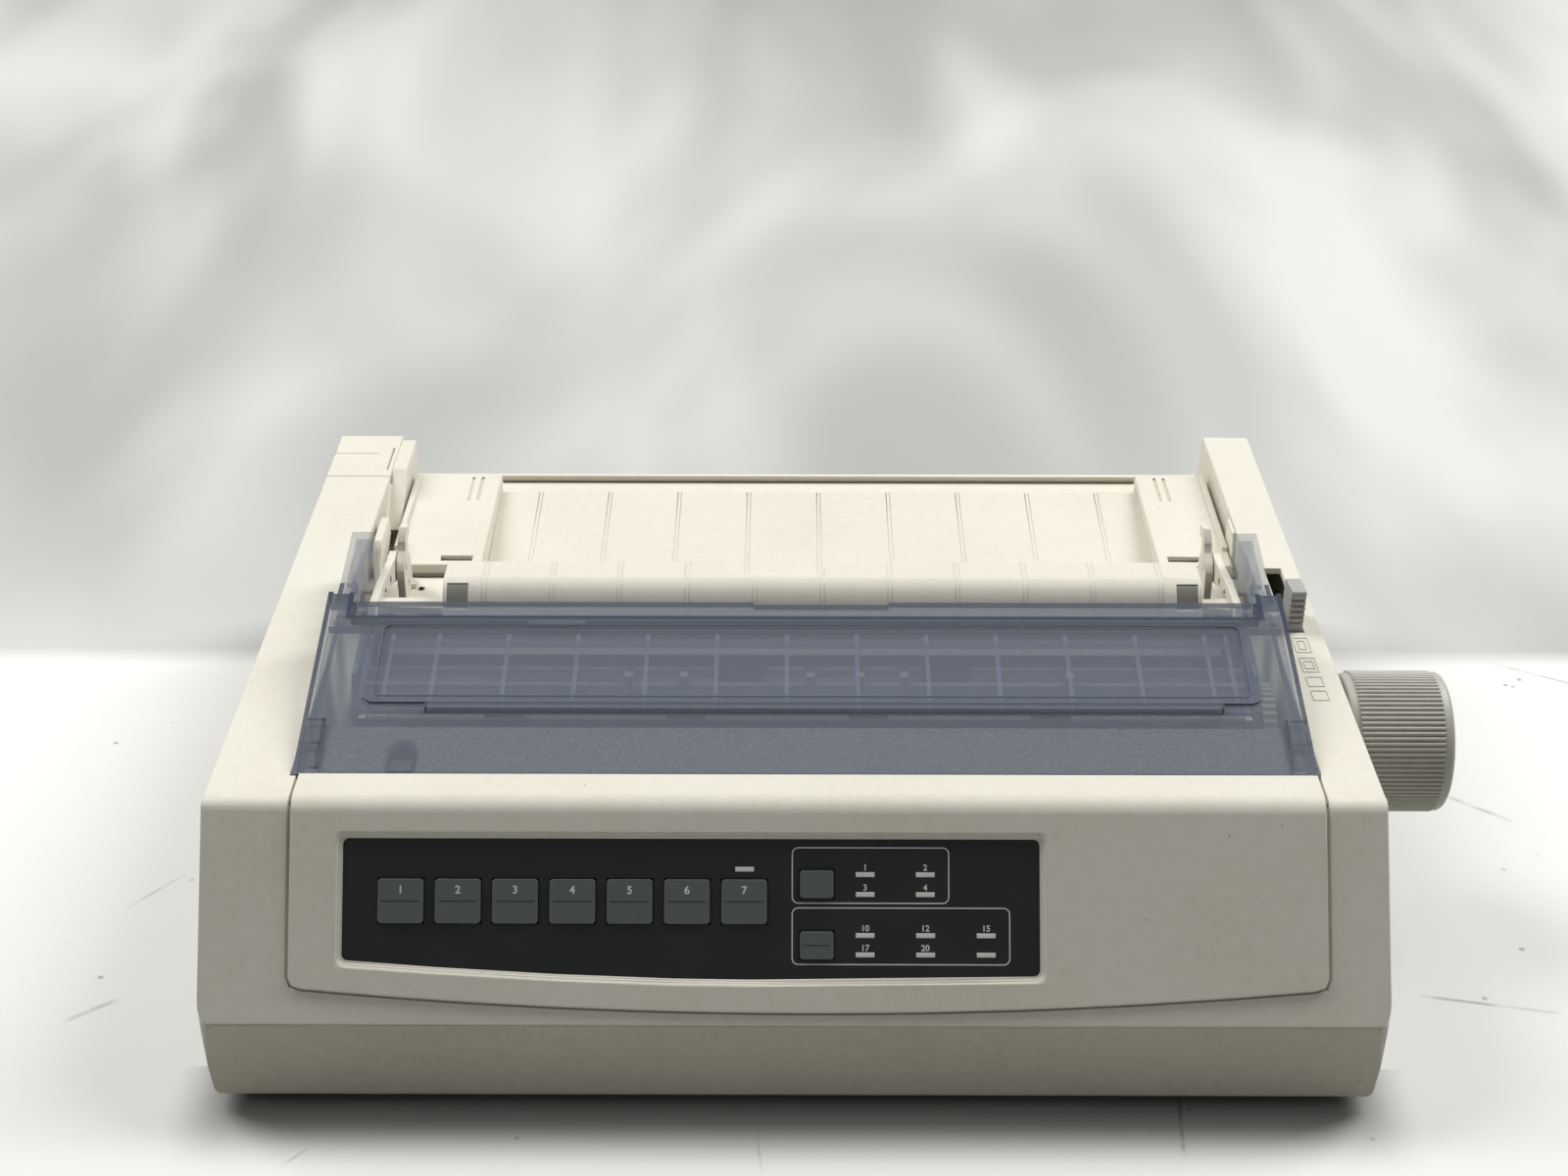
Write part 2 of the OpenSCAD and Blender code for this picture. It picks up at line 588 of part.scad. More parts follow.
module key_switches() {
    for (i = [0:6]) key_at(i) plate(-11, -8.2 - key_travel - 0.1) square([7, 7], center = true);
    for (i = [0:1]) small_at(i) plate(-11, -8.2 - key_travel - 0.1) square([6, 6], center = true);
}
module panel_board() color("#2F5B3A") centred() face() difference() {
    union() {
        plate(-12.6, -11) polygon(rounded_box(rec_x0 + 4, -55, rec_x0 + rec_w - 4, -12, 1.5));
        key_switches();
        for (p = lamp_at) translate([p[0], p[1], -11]) plate(0, 1.5) square([lamp_w, lamp_h]);
        for (x = [rec_x0 + 8, group_x + 22.3, rec_x0 + rec_w - 8])
            translate([x, -14.6, 0]) plate(-11, -4.6) circle(2);
    }
    translate([rec_x0 + 20, -48, 0]) plate(-14, -10) circle(1.6);
}

// ---------------- access cover
function sheet_z(y) = 0.5 + (y - cy0) * tan(cover_slope);
module cover_side(x0, x1) side_plate(x0, x1, [[cy0, sheet_z(cy0)], [cy0, -6.5], [40, -5], [78, 2],
    [cy2, 6], [112, 8], [128, 1.5], [145, -9], [154, -10.5], [157.5, -8], [152.4, 21.2], [122, 15.5],
    [cy2, 13.5], [cy2, sheet_z(cy2)]]);
module cover_ear(x0, x1) side_plate(x0, x1, [[cy2 + 6, 8.6], [112, 8], [128, 1.5], [145, -9],
    [154, -10.5], [157.5, -8], [152.4, 21.2], [122, 15.5]]);
module access_cover() color("#7F8796") centred() difference() {
    union() {
        // top sheet and its front lip
        side_plate(cx0, cx1, [[cy0, sheet_z(cy0)], [cy0, -7.8], [cy0 + cover_t, -7.8],
            [cy0 + cover_t, sheet_z(cy0 + cover_t) - sheet_t], [cy1, sheet_z(cy1) - sheet_t],
            [cy1, sheet_z(cy1)]]);
        // step and back strip
        side_plate(cx0, cx1, [[cy1 - cover_t, sheet_z(cy1) - sheet_t], [cy1 - cover_t, 14.2],
            [108.6, 12.9], [108.6, 15.1], [cy1, 16.4], [cy1, sheet_z(cy1)]]);
        // side strips behind the top sheet, each a channel with a rounded end
        for (x = [cx0, cx1 - strip_w]) side_plate(x, x + strip_w,
            rounded([[cy1 - 0.01, sheet_z(cy1) - sheet_t], [cy2, sheet_z(cy2) - sheet_t],
            [cy2, sheet_z(cy2)], [cy1 - 0.01, sheet_z(cy1)]], [0, 0, 1.2, 0]));
        for (x = [cx0, cx1 - strip_w])
            block(x, x + strip_w, cy2 - cover_t, cy2, 12.8, sheet_z(cy2) - 1.5);
        for (x = [cx0 + strip_w - 1.8, cx1 - strip_w]) side_plate(x, x + 1.8,
            [[cy1 - 1, 14.3], [cy2, 13.2], [cy2, sheet_z(cy2) - 1], [cy1 - 1, sheet_z(cy1) - 1]]);
        // side walls running back into the hinge ears
        cover_side(cx0, cx0 + 1.8);
        cover_side(cx1 - 1.8, cx1);
        cover_ear(cx0 + 6.8, cx0 + 8.6);
        cover_ear(cx1 - 8.6, cx1 - 6.8);
        for (x = [cx0, cx1 - 8.6]) {
            side_plate(x, x + 8.6, [[cy2 + 6.8, 12.9], [cy2 + 6.8, 13.6], [122, 15.5], [152.4, 21.2],
                [152.7, 19.2], [122, 13.4]]);
            side_plate(x, x + 8.6, [[152.4, 21.2], [150.4, 20.8], [155.4, -8.5], [157.5, -8]]);
        }
        // hinge pins
        rod_x(xl - wall + 0.1, cx0 + 1, hinge_y, hinge_z, hinge_r);
        rod_x(cx1 - 1, xr + wall - 0.1, hinge_y, hinge_z, hinge_r);
        // raised frame of the window and the handle bar
        difference() {
            sheet_frame(win_x0, win_x1, 47, 86.2, 4, 0.9);
            sheet_frame(win_x0 + 3, win_x1 - 3, 50, 84.2, 3, 2);
        }
        sheet_frame(-129.2, 150.2, 42.6, 45.1, 0.8, 2.4);
        cover_latch();
        // pockets in the front corners
        for (x = [cx0 + 1.8, cx1 - 8.2], y = [17.6, 28.6, 39])
            block(x, x + 6.4, y, y + 1.3, -6.4, sheet_z(y) - sheet_t + 0.3);
        for (x = [cx0 + 6.9, cx1 - 8.2]) side_plate(x, x + 1.3,
            [[17.4, -6.4], [40.3, -6.4], [40.3, sheet_z(40.3) - sheet_t + 0.3],
            [17.4, sheet_z(17.4) - sheet_t + 0.3]]);
    }
    // finger scoop in the middle of the back strip
    block(-15, 35, 106.6, 110, 10, 20);
}
// slab lying on the cover's slope, outline in plan, h high
module sheet_frame(x0, x1, ya, yc, r, h) intersection() {
    plate(60, 160) polygon(rounded_box(x0, yb(ya), x1, yb(yc), r));
    side_plate(x0 - 1, x1 + 1, [[cy0, sheet_z(cy0) - 0.6], [cy1 - 0.01, sheet_z(cy1 - 0.01) - 0.6],
        [cy1 - 0.01, sheet_z(cy1 - 0.01) + h], [cy0, sheet_z(cy0) + h]]);
}

module cover_foam() color("#5A5E60") centred() difference() {
    side_plate(cx0 + 8.6, cx1 - 8.6, [[17.7, sheet_z(17.7) - sheet_t - foam_t],
        [39.6, sheet_z(39.6) - sheet_t - foam_t], [39.6, sheet_z(39.6) - sheet_t],
        [17.7, sheet_z(17.7) - sheet_t]]);
    block(-140.2, -130.2, 17, 27.5, -20, 20);
    translate([-135.2, yb(27.5), zt(-20)]) cylinder(r = 5, h = 40);
}
module cover_latch() difference() {
    block(-139, -131.5, 16, 25.5, -7.8, sheet_z(17.7) - sheet_t + 0.4);
    block(-137.2, -133.3, 19.5, 26, -9, sheet_z(17.7) - sheet_t - 2);
}

// ---------------- separator bar
module groove_x(i) translate([bar_mid + bar_pitch * (i - 5), 0, 0]) children();
module separator_bar() color("#F0ECDD") centred() {
    difference() {
        union() {
            plate(zt(bar_z) - 2.2, zt(bar_z)) bar_plan(0);
            // skirt
            difference() {
                plate(zt(bar_z) - bar_h, zt(bar_z) - 2) bar_plan(0);
                plate(zt(bar_z) - bar_h - 1, zt(bar_z) - 1.9) bar_plan(2);
            }
        }
        // double grooves over the top and down the front
        for (i = [0:10], s = [-1.1, 0.5]) groove_x(i) {
            block(s, s + 0.6, bar_y0 - 6, bar_y0 + 24, bar_z - 0.5, bar_z + 1);
            block(s, s + 0.6, bar_y0 - 6, bar_y0 + 0.5, bar_z - bar_h + 2, bar_z + 1);
        }
        // windows at both front ends
        for (x = [bar_x0 + 1.5, bar_x1 - 9.5]) block(x, x + 8, 110, 119, bar_z - 8.4, bar_z - 1.2);
    }
    // arms to the pivot
    for (s = [0, 1]) {
        ax = s == 0 ? arm_l : arm_r;
        difference() {
            side_plate(ax, ax + arm_t, [[118, bar_z - bar_h], [134, bar_z - bar_h], [piv_y - 6, -5],
                [piv_y + 1, -5.5], [piv_y + 5, -2], [piv_y + 4.5, 3], [piv_y, 5.5], [piv_y - 6, 5],
                [136, 9], [118, 10]]);
            // lightening holes
            for (y = [124, 136, 148]) rod_x(ax - 1, ax + 4, y, 4.6 - (y - 124) * 0.12, 2);
        }
        rod_x(ax - (s == 0 ? 0.9 : 0.1), ax + (s == 0 ? 3.1 : 3.4), piv_y, 0, piv_r + 0.8);
        if (s == 0) rod_x(ax, ax + 6.6, piv_y, 0, piv_r);
        else rod_x(ax - 3.6, ax + 3, piv_y, 0, piv_r);
    }
    // tie from each arm to the bar
    block(arm_l + 2.9, bar_x0 + 0.5, 118.5, 126, bar_z - bar_h, bar_z - bar_h + 3);
    block(bar_x1 - 0.5, arm_r + 0.1, 118.5, 126, bar_z - bar_h, bar_z - bar_h + 3);
}
module bar_plan(d) polygon(rounded([[bar_x0 + d, yb(bar_y0) + d], [bar_x1 - d, yb(bar_y0) + d],
    [bar_x1 - d, yb(bar_y0 + bar_d) - d], [bar_mid + 2.2 - d * 0.8, yb(bar_y0 + bar_d) - d],
    [bar_mid - 0.4 - d * 0.8, yb(124.4) - d], [bar_mid - 35.4 + d * 0.8, yb(124.4) - d],
    [bar_mid - 38 + d * 0.8, yb(bar_y0 + bar_d) - d], [bar_x0 + d, yb(bar_y0 + bar_d) - d]],
    [0.8, 0.8, 1.5, 0, 0.8, 0.8, 0, 1.5]));
module bar_windows() color("#55564F") centred() for (x = [bar_x0 + 1.5, bar_x1 - 9.5])
    block(x + 0.02, x + 7.98, 116.5, 117.6, bar_z - 8.38, bar_z - 1.22);

// ---------------- rear deck, brackets, table, guides
module rear_deck() color("#E9E5D6") centred() difference() {
    union() {
        block(xl, xr, deck_y0, step_y1, deck_z - deck_t, deck_z);
        block(xl, xr, step_y0, step_y1, well_z - well_t, deck_z);
        block(xl, xr, step_y0, back_y + 3.2, well_z - well_t, well_z);
        // chute that leads the sheet down to the platen
        side_plate(frame_l + frame_t, frame_r - frame_t, [[deck_y0 + 0.1, deck_z - deck_t],
            [deck_y0 + 0.1, deck_z], [112, -26], [97, -36], [97, -38.4], [111, -28.4]]);
        // table hinge bracket and fin on the left
        side_plate(xl + 2, xl + 5.4, [[step_y0 - 0.8, deck_z - 1], [step_y1, -4], [tab_y - 1, -0.5],
            [tab_y + 19, -0.5], [tab_y + 19, -8], [tab_y + 9, deck_z + 2], [tab_y + 9, well_z - 1],
            [tab_y - 3, well_z - 1]]);
        // fin on the right, behind the table's hinge pin
        side_plate(xr - 1.6, xr, [[tab_y + 3.5, well_z - 1], [tab_y + 3.5, -6], [tab_y + 7, -0.5],
            [tab_y + 19, -0.5], [tab_y + 19, well_z - 1]]);
        // ribs on the floor of the well
        for (i = [0:8]) block(plate_x0 + 17 + plate_pitch * i, plate_x0 + 19 + plate_pitch * i,
            step_y1 + 5, back_y - 33.8, well_z - 0.1, well_z + 1.4);
    }
    rod_x(xl + 1, xl + 6, tab_y, tab_z, tab_r + run_gap);
    // screw holes in the deck
    for (x = [-150, 150]) rod_z(x, yb(deck_y0 + 13.5), 0, 200, 1.6);
}
module pivot_brackets() color("#DAD6C6") centred() {
    for (x = [arm_l + 3.4, arm_r - 3.4]) {
        difference() {
            side_plate(x, x + 3, [[piv_y - 7.2, deck_z], [piv_y + 11, deck_z], [piv_y + 10, -2],
                [piv_y + 6, 3], [piv_y + 8, 8], [piv_y + 12, 7], [piv_y + 13, 11], [piv_y + 6, 13],
                [piv_y + 1, 9], [piv_y, 5.5], [piv_y - 5, 4], [piv_y - 7, 0]]);
            rod_x(x - 1, x + 4, piv_y, 0, piv_r + run_gap);
            rod_x(x - 1, x + 4, piv_y + 2, -10, 1.6);
        }
        block(x - 2, x + 5, piv_y + 6, piv_y + 11, deck_z, deck_z + 2);
    }
}
// top of the grooved plate, y behind the rails' front edge
function plate_z(y) = plate_z0 + (y - plate_y0) * tan(plate_slope);
module sheet_table() color("#E8E4D6") centred() difference() {
    union() {
        // grooved plate
        side_plate(plate_x0 - 0.5, plate_x1 + 0.5, [[plate_y0, plate_z0 - table_t],
            [plate_y1, plate_z(plate_y1) - table_t], [plate_y1, plate_z(plate_y1)],
            [plate_y0, plate_z0]]);
        block(plate_x0 - 0.5, plate_x1 + 0.5, wing_y0, plate_y0 + 1, plate_z0 - table_t, plate_z0 - 0.1);
        // wings under the sheet guides
        block(wing_x0, plate_x0, wing_y0, wing_y1, wing_z - wing_t, wing_z);
        block(plate_x1, xr - 1.9, wing_y0 + 4.1, wing_y1, wing_z - wing_t, wing_z);
        block(plate_x1, xr - 4.4, wing_y0, wing_y0 + 4.6, wing_z - wing_t, wing_z);
        // webs between the plate and the wings
        for (x = [plate_x0 - web_t, plate_x1]) side_plate(x, x + web_t,
            [[wing_y0 + 0.6, plate_z0 - table_t], [plate_y1, min(plate_z(plate_y1), wing_z) - table_t],
            [wing_y1 - 0.5, wing_z - table_t], [wing_y1 - 0.5, wing_z], [wing_y0 + 0.6, wing_z]]);
        // hinge pins
        rod_x(xl + 2.2, wing_x0 + 1.3, tab_y, tab_z, tab_r);
        rod_x(xr - 5, xr + wall - 0.3, tab_y, tab_z, tab_r);
    }
    for (i = [0:8], side = [-1, 0.5]) plate_groove(plate_x0 + 17.5 + plate_pitch * i + side, 0.5);
    // flats on the pins, under the sheet guides
    block(wing_x0, xr - 1.5, wing_y0 - 2.4, plate_y0 + 1, wing_z, wing_z + 3);
}
module plate_groove(x, w) side_plate(x, x + w, [[groove_y0, plate_z(groove_y0) - 0.7],
    [plate_y1 + 1, plate_z(plate_y1 + 1) - 0.7], [plate_y1 + 1, plate_z(plate_y1) + 1],
    [groove_y0, plate_z(groove_y0) + 1]]);
module guide(x0, x1, s) {
    inx = s > 0 ? x1 : x0;
    difference() {
        block(x0, x1, pad_y0, pad_y1, pad_z, pad_z + pad_t);
        block(x0 + 1.6, x1 - 1.6, pad_y0 + 2, pad_y1 - 2.1, pad_z - 1, pad_z + pad_t - 1.8);
        // double slot at the back and the cut-out near the front inner corner
        for (k = [8, 12]) block(inx - s * k - 0.7, inx - s * k + 0.7, pad_y1 - 24.7, pad_y1 - 2.7,
            pad_z + pad_t - 0.8, pad_z + pad_t + 1);
        block(min(inx - s * 4, inx - s * 17), max(inx - s * 4, inx - s * 17), pad_y0 + 3.3, pad_y0 + 7.6,
            pad_z - 1, pad_z + pad_t + 1);
    }
    // fence along the outer side
    ox = s > 0 ? x0 : x1;
    block(min(ox, ox + s * 2.4), max(ox, ox + s * 2.4), pad_y0 + 12.8, pad_y1 - 2.7, pad_z + pad_t - 0.2,
        pad_z + pad_t + 1.6);
}
module sheet_guide_left() color("#ECE8DA") centred() guide(plate_x0 - 37, plate_x0, 1);
module sheet_guide_right() color("#ECE8DA") centred() guide(plate_x1, xr - 2.1, -1);

// ---------------- paper drive
// ring of z teeth of module m: root, flank, tip, flank
module tooth_ring(z, m, h, a0) linear_extrude(h) polygon([
    for (i = [0:z - 1], k = [0:3])
        let (r = m * z / 2 + (k == 1 || k == 2 ? 0.4 : -0.8) * m,
             a = a0 + 360 / z * (i + [-0.26, -0.13, 0.13, 0.26][k]))
        r * [cos(a), sin(a)]]);
// gear on an X axis, angle measured from +Y towards +Z
module xgear(x0, h, y, z, t, a0, bore) difference() {
    translate([x0, yb(y), zt(z)]) rotate([90, 0, 90]) tooth_ring(t, gear_m, h, a0);
    rod_x(x0 - 1, x0 + h + 1, y, z, bore);
}
module platen() color("#26272A") centred() difference() {
    rod_x(frame_l + 14, frame_r - 12, platen_y, -platen_z, platen_r);
    rod_x(frame_l, frame_r, platen_y, -platen_z, shaft_r);
}
module platen_shaft()
    color("#9A9A98") centred() rod_x(frame_l - 2, hw + knob_reach - 8, platen_y, -platen_z, shaft_r);
module platen_gear() color("#D8D4C4") centred() difference() {
    xgear(gear_x, gear_t, platen_y, -platen_z, teeth_platen, 0, shaft_r);
    for (a = [0:60:300]) translate([gear_x - 1, yb(platen_y) + 13 * cos(a),
        zt(-platen_z) + 13 * sin(a)]) rotate([0, 90, 0]) cylinder(r = 3.6, h = gear_t + 2);
}
// angle from a to the nearest of t teeth, the first of them at a0
function near_tooth(a, t, a0) = let (p = 360 / t) ((a - a0) / p - round((a - a0) / p)) * p;
module idler_gear() color("#D8D4C4")
    centred() xgear(gear_x, gear_t, idler_at[0], idler_at[1], teeth_idler, idler_turn, idler_r + run_gap);
module motor_pinion() color("#B59A5A") centred() {
    xgear(gear_x, gear_t, pinion_at[0], pinion_at[1], teeth_pinion, pinion_turn, 1);
    rod_x(frame_r - frame_t - 13.9, gear_x + gear_t + 1, pinion_at[0], pinion_at[1], 1.5);
}
module idler_axle() {
    rod_x(frame_r - frame_t, gear_x + gear_t + 1, idler_at[0], idler_at[1], idler_r);
    rod_x(frame_r - 0.1, gear_x - 0.4, idler_at[0], idler_at[1], 5);
    rod_x(gear_x + gear_t + 0.3, gear_x + gear_t + 1.8, idler_at[0], idler_at[1], 4.2);
}
module feed_motor() color("#5C5C5C") centred() difference() {
    union() {
        rod_x(frame_r - frame_t - 22, frame_r - frame_t, pinion_at[0], pinion_at[1], 20);
        block(frame_r - frame_t - 1.4, frame_r - frame_t, pinion_at[0] - 27, pinion_at[0] + 27,
            pinion_at[1] - 6, pinion_at[1] + 6);
        block(frame_r - frame_t - 18, frame_r - frame_t - 8, pinion_at[0] - 6, pinion_at[0] + 6,
            pinion_at[1] - 22.4, pinion_at[1] - 15);
    }
    rod_x(frame_r - frame_t - 14, frame_r, pinion_at[0], pinion_at[1], 1.6);
}
module knob() color("#A7A69D") centred() difference() {
    union() {
        // fluted grip
        translate([hw + 5, yb(platen_y), zt(-platen_z)]) rotate([90, 0, 90])
            linear_extrude(knob_reach - 8.6) polygon([
                for (i = [0:2 * knob_flutes - 1])
                    let (r = knob_r - (i % 2) * flute_d, a = 180 * i / knob_flutes)
                    r * [cos(a), sin(a)]]);
        rod_x(hw + 2, hw + 5, platen_y, -platen_z, knob_r - 1.2);
        rod_x(hw + knob_reach - 3.6, hw + knob_reach - 1.2, platen_y, -platen_z, knob_r - 0.5);
        translate([hw + knob_reach - 1.2, yb(platen_y), zt(-platen_z)])
            rotate([0, 90, 0]) cylinder(r1 = knob_r - 0.5, r2 = knob_r - 2, h = 1.2);
        rod_x(hw + 0.6, hw + 2.2, platen_y, -platen_z, 9);
    }
    rod_x(hw, hw + knob_reach - 8, platen_y, -platen_z, shaft_r);
    // hollow seen from the case side
    difference() {
        rod_x(hw, hw + 20, platen_y, -platen_z, knob_r - 4);
        rod_x(hw - 1, hw + 21, platen_y, -platen_z, 9);
    }
}

// ---------------- frames, rods, tear bar
module frame_plate(x0, right) difference() {
    side_plate(x0, x0 + frame_t, [[30, floor_z - rail_top], [frame_y1, floor_z - rail_top],
        [frame_y1, -40], [112, -27], [100, -20], [97, 8], [74, 5], [66, -8], [60, -20], [16, -30],
        [16, -54], [30, -60]]);
    rod_x(x0 - 1, x0 + frame_t + 1, platen_y, -platen_z, shaft_r + run_gap);
    rod_x(x0 - 1, x0 + frame_t + 1, car_y, car_z, bar_r);
    rod_x(x0 - 1, x0 + frame_t + 1, bail_pivot[0], bail_pivot[1], bail_r + run_gap);
    if (right) rod_x(x0 - 1, x0 + frame_t + 1, pinion_at[0], pinion_at[1], 6);
    for (y = [60, 130]) rod_x(x0 - 1, x0 + frame_t + 1, y, -80, 5);
}
module side_frame_left() color("#A8ABA8") centred() {
    frame_plate(frame_l, false);
    block(frame_l - 8, frame_l + 0.1, 40, 60, floor_z - rail_top, floor_z - rail_top + 2);
    block(frame_l - 8, frame_l + 0.1, 120, 140, floor_z - rail_top, floor_z - rail_top + 2);
}
module side_frame_right() color("#A8ABA8") centred() {
    frame_plate(frame_r - frame_t, true);
    idler_axle();
    block(frame_r - 0.1, frame_r + 8, 40, 60, floor_z - rail_top, floor_z - rail_top + 2);
    block(frame_r - 0.1, frame_r + 8, 130, 150, floor_z - rail_top, floor_z - rail_top + 2);
}
module pull_up_rods() color("#B7B8B4") centred() {
    rod_x(frame_l + frame_t, frame_r - frame_t, rod_a[0], rod_a[1], 1.8);
    rod_x(frame_l + frame_t, frame_r - frame_t, rod_b[0], rod_b[1], 1.3);
    for (x = post_x) block(x - 1.5, x + 1.5, 75, 87, -3, 3.2);
}
module pull_up_rollers() color("#3A3D42") centred() for (x = roller_x) difference() {
    union() {
        rod_x(x, x + 17, rod_a[0], rod_a[1], 4.2);
        rod_x(x + 5, x + 12, rod_a[0], rod_a[1], 4.7);
    }
    rod_x(x - 1, x + 18, rod_a[0], rod_a[1], 1.8);
}
module tear_bar() color("#9AA2B8") centred() {
    side_plate(frame_l + frame_t, frame_r - frame_t, [[tear_front[0], tear_front[1]],
        [tear_back[0], tear_back[1]], [tear_back[0], tear_back[1] - 1.6],
        [tear_front[0], tear_front[1] - 1.6]]);
    block(frame_l + frame_t, frame_r - frame_t, tear_back[0] - 2.6, tear_back[0] + 0.1,
        tear_back[1] - 4.4, tear_back[1] + 2);
    for (i = [0:11]) translate([-129.6 + 25.4 * i, 0, 0]) rib();
    for (x = [-154.5, -146.5, 157.5]) translate([x, 0, 0]) rib();
}
module rib() side_plate(-0.8, 0.8, [[tear_front[0], tear_front[1] - 0.2],
    [tear_back[0] - 1, tear_back[1] - 0.6], [tear_back[0] - 1, tear_back[1] + 2],
    [tear_front[0] + 3, tear_front[1] + 3.4]]);
module tear_blade() color("#34373D") centred() along_x(frame_l + frame_t + 6,
    frame_r - frame_t - 6)
    polygon(yz([[79, 6.9 - 1.6], [84.6, 8.3 - 1.6], [84.6, 7.7 - 1.6], [79, 6.3 - 1.6]]));

module bail_arms() for (x = [frame_l + frame_t + 0.6, frame_r - frame_t - 3.1]) difference() {
    side_plate(x, x + 2.5, [[bail_pivot[0] - 3, bail_pivot[1] - 4],
        [bail_pivot[0] + 4, bail_pivot[1] - 3], [bail_pivot[0] + 3, bail_pivot[1] + 4],
        [bail[0] + 2, bail[1] + 4], [bail[0] - 4, bail[1] + 2.5], [bail[0] - 4, bail[1] - 3.5],
        [bail[0] + 3, bail[1] - 3.4], [80, -9.5]]);
    rod_x(x - 1, x + 4, bail[0], bail[1], bail_r);
}
module paper_bail() color("#8E9294") centred() {
    difference() {
        bail_arms();
        rod_x(frame_l, frame_r, platen_y, -platen_z, platen_r + 1.5);
    }
    rod_x(frame_l + frame_t + 0.6, frame_r - frame_t - 0.6, bail[0], bail[1], bail_r);
    rod_x(frame_l + 0.2, frame_l + frame_t + 1, bail_pivot[0], bail_pivot[1], bail_r);
    rod_x(frame_r - frame_t - 1, frame_r - 0.2, bail_pivot[0], bail_pivot[1], bail_r);
}
module bail_rollers() color("#2B2C2F") centred() for (x = [-112, -46, 20, 86]) difference() {
    rod_x(x, x + 14, bail[0], bail[1], 5);
    rod_x(x - 1, x + 15, bail[0], bail[1], bail_r);
}

// ---------------- carriage
module carriage_shaft() color("#B9BBBA") centred() rod_x(frame_l, frame_r, car_y, car_z, bar_r);
module guide_rail() color("#A2A5A4") centred() {
    block(frame_l + frame_t, frame_r - frame_t, 19, 21, -52, -36);
    block(frame_l + frame_t, frame_r - frame_t, 16.5, 19.2, -52, -50);
}
module carriage() color("#33363A") centred() difference() {
    union() {
        block(car_x - 24, car_x + 24, 34, 57, -71, -53.4);
        block(car_x - 20, car_x + 20, 21.8, 40, -57.6, -53.4);
        block(car_x - 10, car_x + 10, 21.8, 24, -54, -40);
        block(car_x - 10, car_x + 10, 15, 24, -57.6, -54.6);
        block(car_x - 8, car_x + 8, 32, 36, -73, -64);
    }
    rod_x(car_x - 30, car_x + 30, car_y, car_z, bar_r + run_gap);
}
module print_head() color("#6E7276") centred() {
    block(car_x - 15, car_x + 15, 38, 56, -53.4, -26);
    for (i = [0:6]) block(car_x - 19, car_x + 19, 38 + 2.6 * i, 39.3 + 2.6 * i, -50, -27);
    block(car_x - 6, car_x + 6, 55.9, 61.5, -40, -24);
    difference() {
        block(car_x - 3, car_x + 3, 61.4, 65.4, -33, -21.8);
        block(car_x - 0.6, car_x + 0.6, 64.8, 66, -31, -23);
    }
}
module ribbon_cartridge() color("#1E1F22") centred() difference() {
    union() {
        plate(zt(-22), zt(-10)) polygon(rounded([[car_x - ribbon_w / 2, yb(20)],
            [car_x + ribbon_w / 2, yb(20)], [car_x + ribbon_w / 2, yb(50)], [car_x + 22, yb(60)],
            [car_x + 9, yb(60)], [car_x + 9, yb(52)], [car_x - 9, yb(52)], [car_x - 9, yb(60)],
            [car_x - 22, yb(60)], [car_x - ribbon_w / 2, yb(50)]], [4, 4, 5, 2, 1, 0, 0, 1, 2, 5]));
        plate(zt(-10.1), zt(-8.4)) polygon(rounded_box(car_x - 30, yb(26), car_x + 30, yb(44), 3));
        translate([car_x + 38, yb(32), zt(-10.1)]) cylinder(r = 6, h = 2.6);
    }
    // well over the head
    block(car_x - 19.4, car_x + 19.4, 37.4, 61, -22.5, -21.7);
}
module belt_path(r) {
    for (x = [pulley_x0, pulley_x1]) translate([x, yb(belt_y)]) circle(r);
    translate([pulley_x0, yb(belt_y) - r]) square([pulley_x1 - pulley_x0, 2 * r]);
}
module drive_belt() color("#1A1A1A") centred() plate(belt_z + 0.6, belt_z + 5.4) difference() {
    belt_path(pulley_r + 0.3 + belt_t);
    belt_path(pulley_r + 0.3);
}
module pulley(x) difference() {
    rod_z(x, yb(belt_y), belt_z + 0.2, belt_z + 5.8, pulley_r);
    rod_z(x, yb(belt_y), belt_z - 1, belt_z + 8, 2 + run_gap);
    for (a = [0:60:300]) rod_z(x + 5 * cos(a), yb(belt_y) + 5 * sin(a), belt_z - 1, belt_z + 8, 1.1);
}
module drive_pulley() color("#C9C5B5") centred() pulley(pulley_x0);
module tension_pulley() color("#C9C5B5") centred() pulley(pulley_x1);
module carriage_motor() color("#595B5C") centred() {
    rod_z(pulley_x0, yb(belt_y), floor_z, belt_z, 17);
    rod_z(pulley_x0, yb(belt_y), belt_z - 0.1, belt_z + 8, 2);
}
module tension_bracket() color("#A2A5A4") centred() {
    block(pulley_x1 - 9, pulley_x1 + 9, belt_y - 9, belt_y + 9, floor_z - rail_top,
        floor_z - rail_top + 2);
    rod_z(pulley_x1, yb(belt_y), floor_z + 1.9, belt_z, 4);
    rod_z(pulley_x1, yb(belt_y), belt_z - 0.1, belt_z + 8, 2);
}

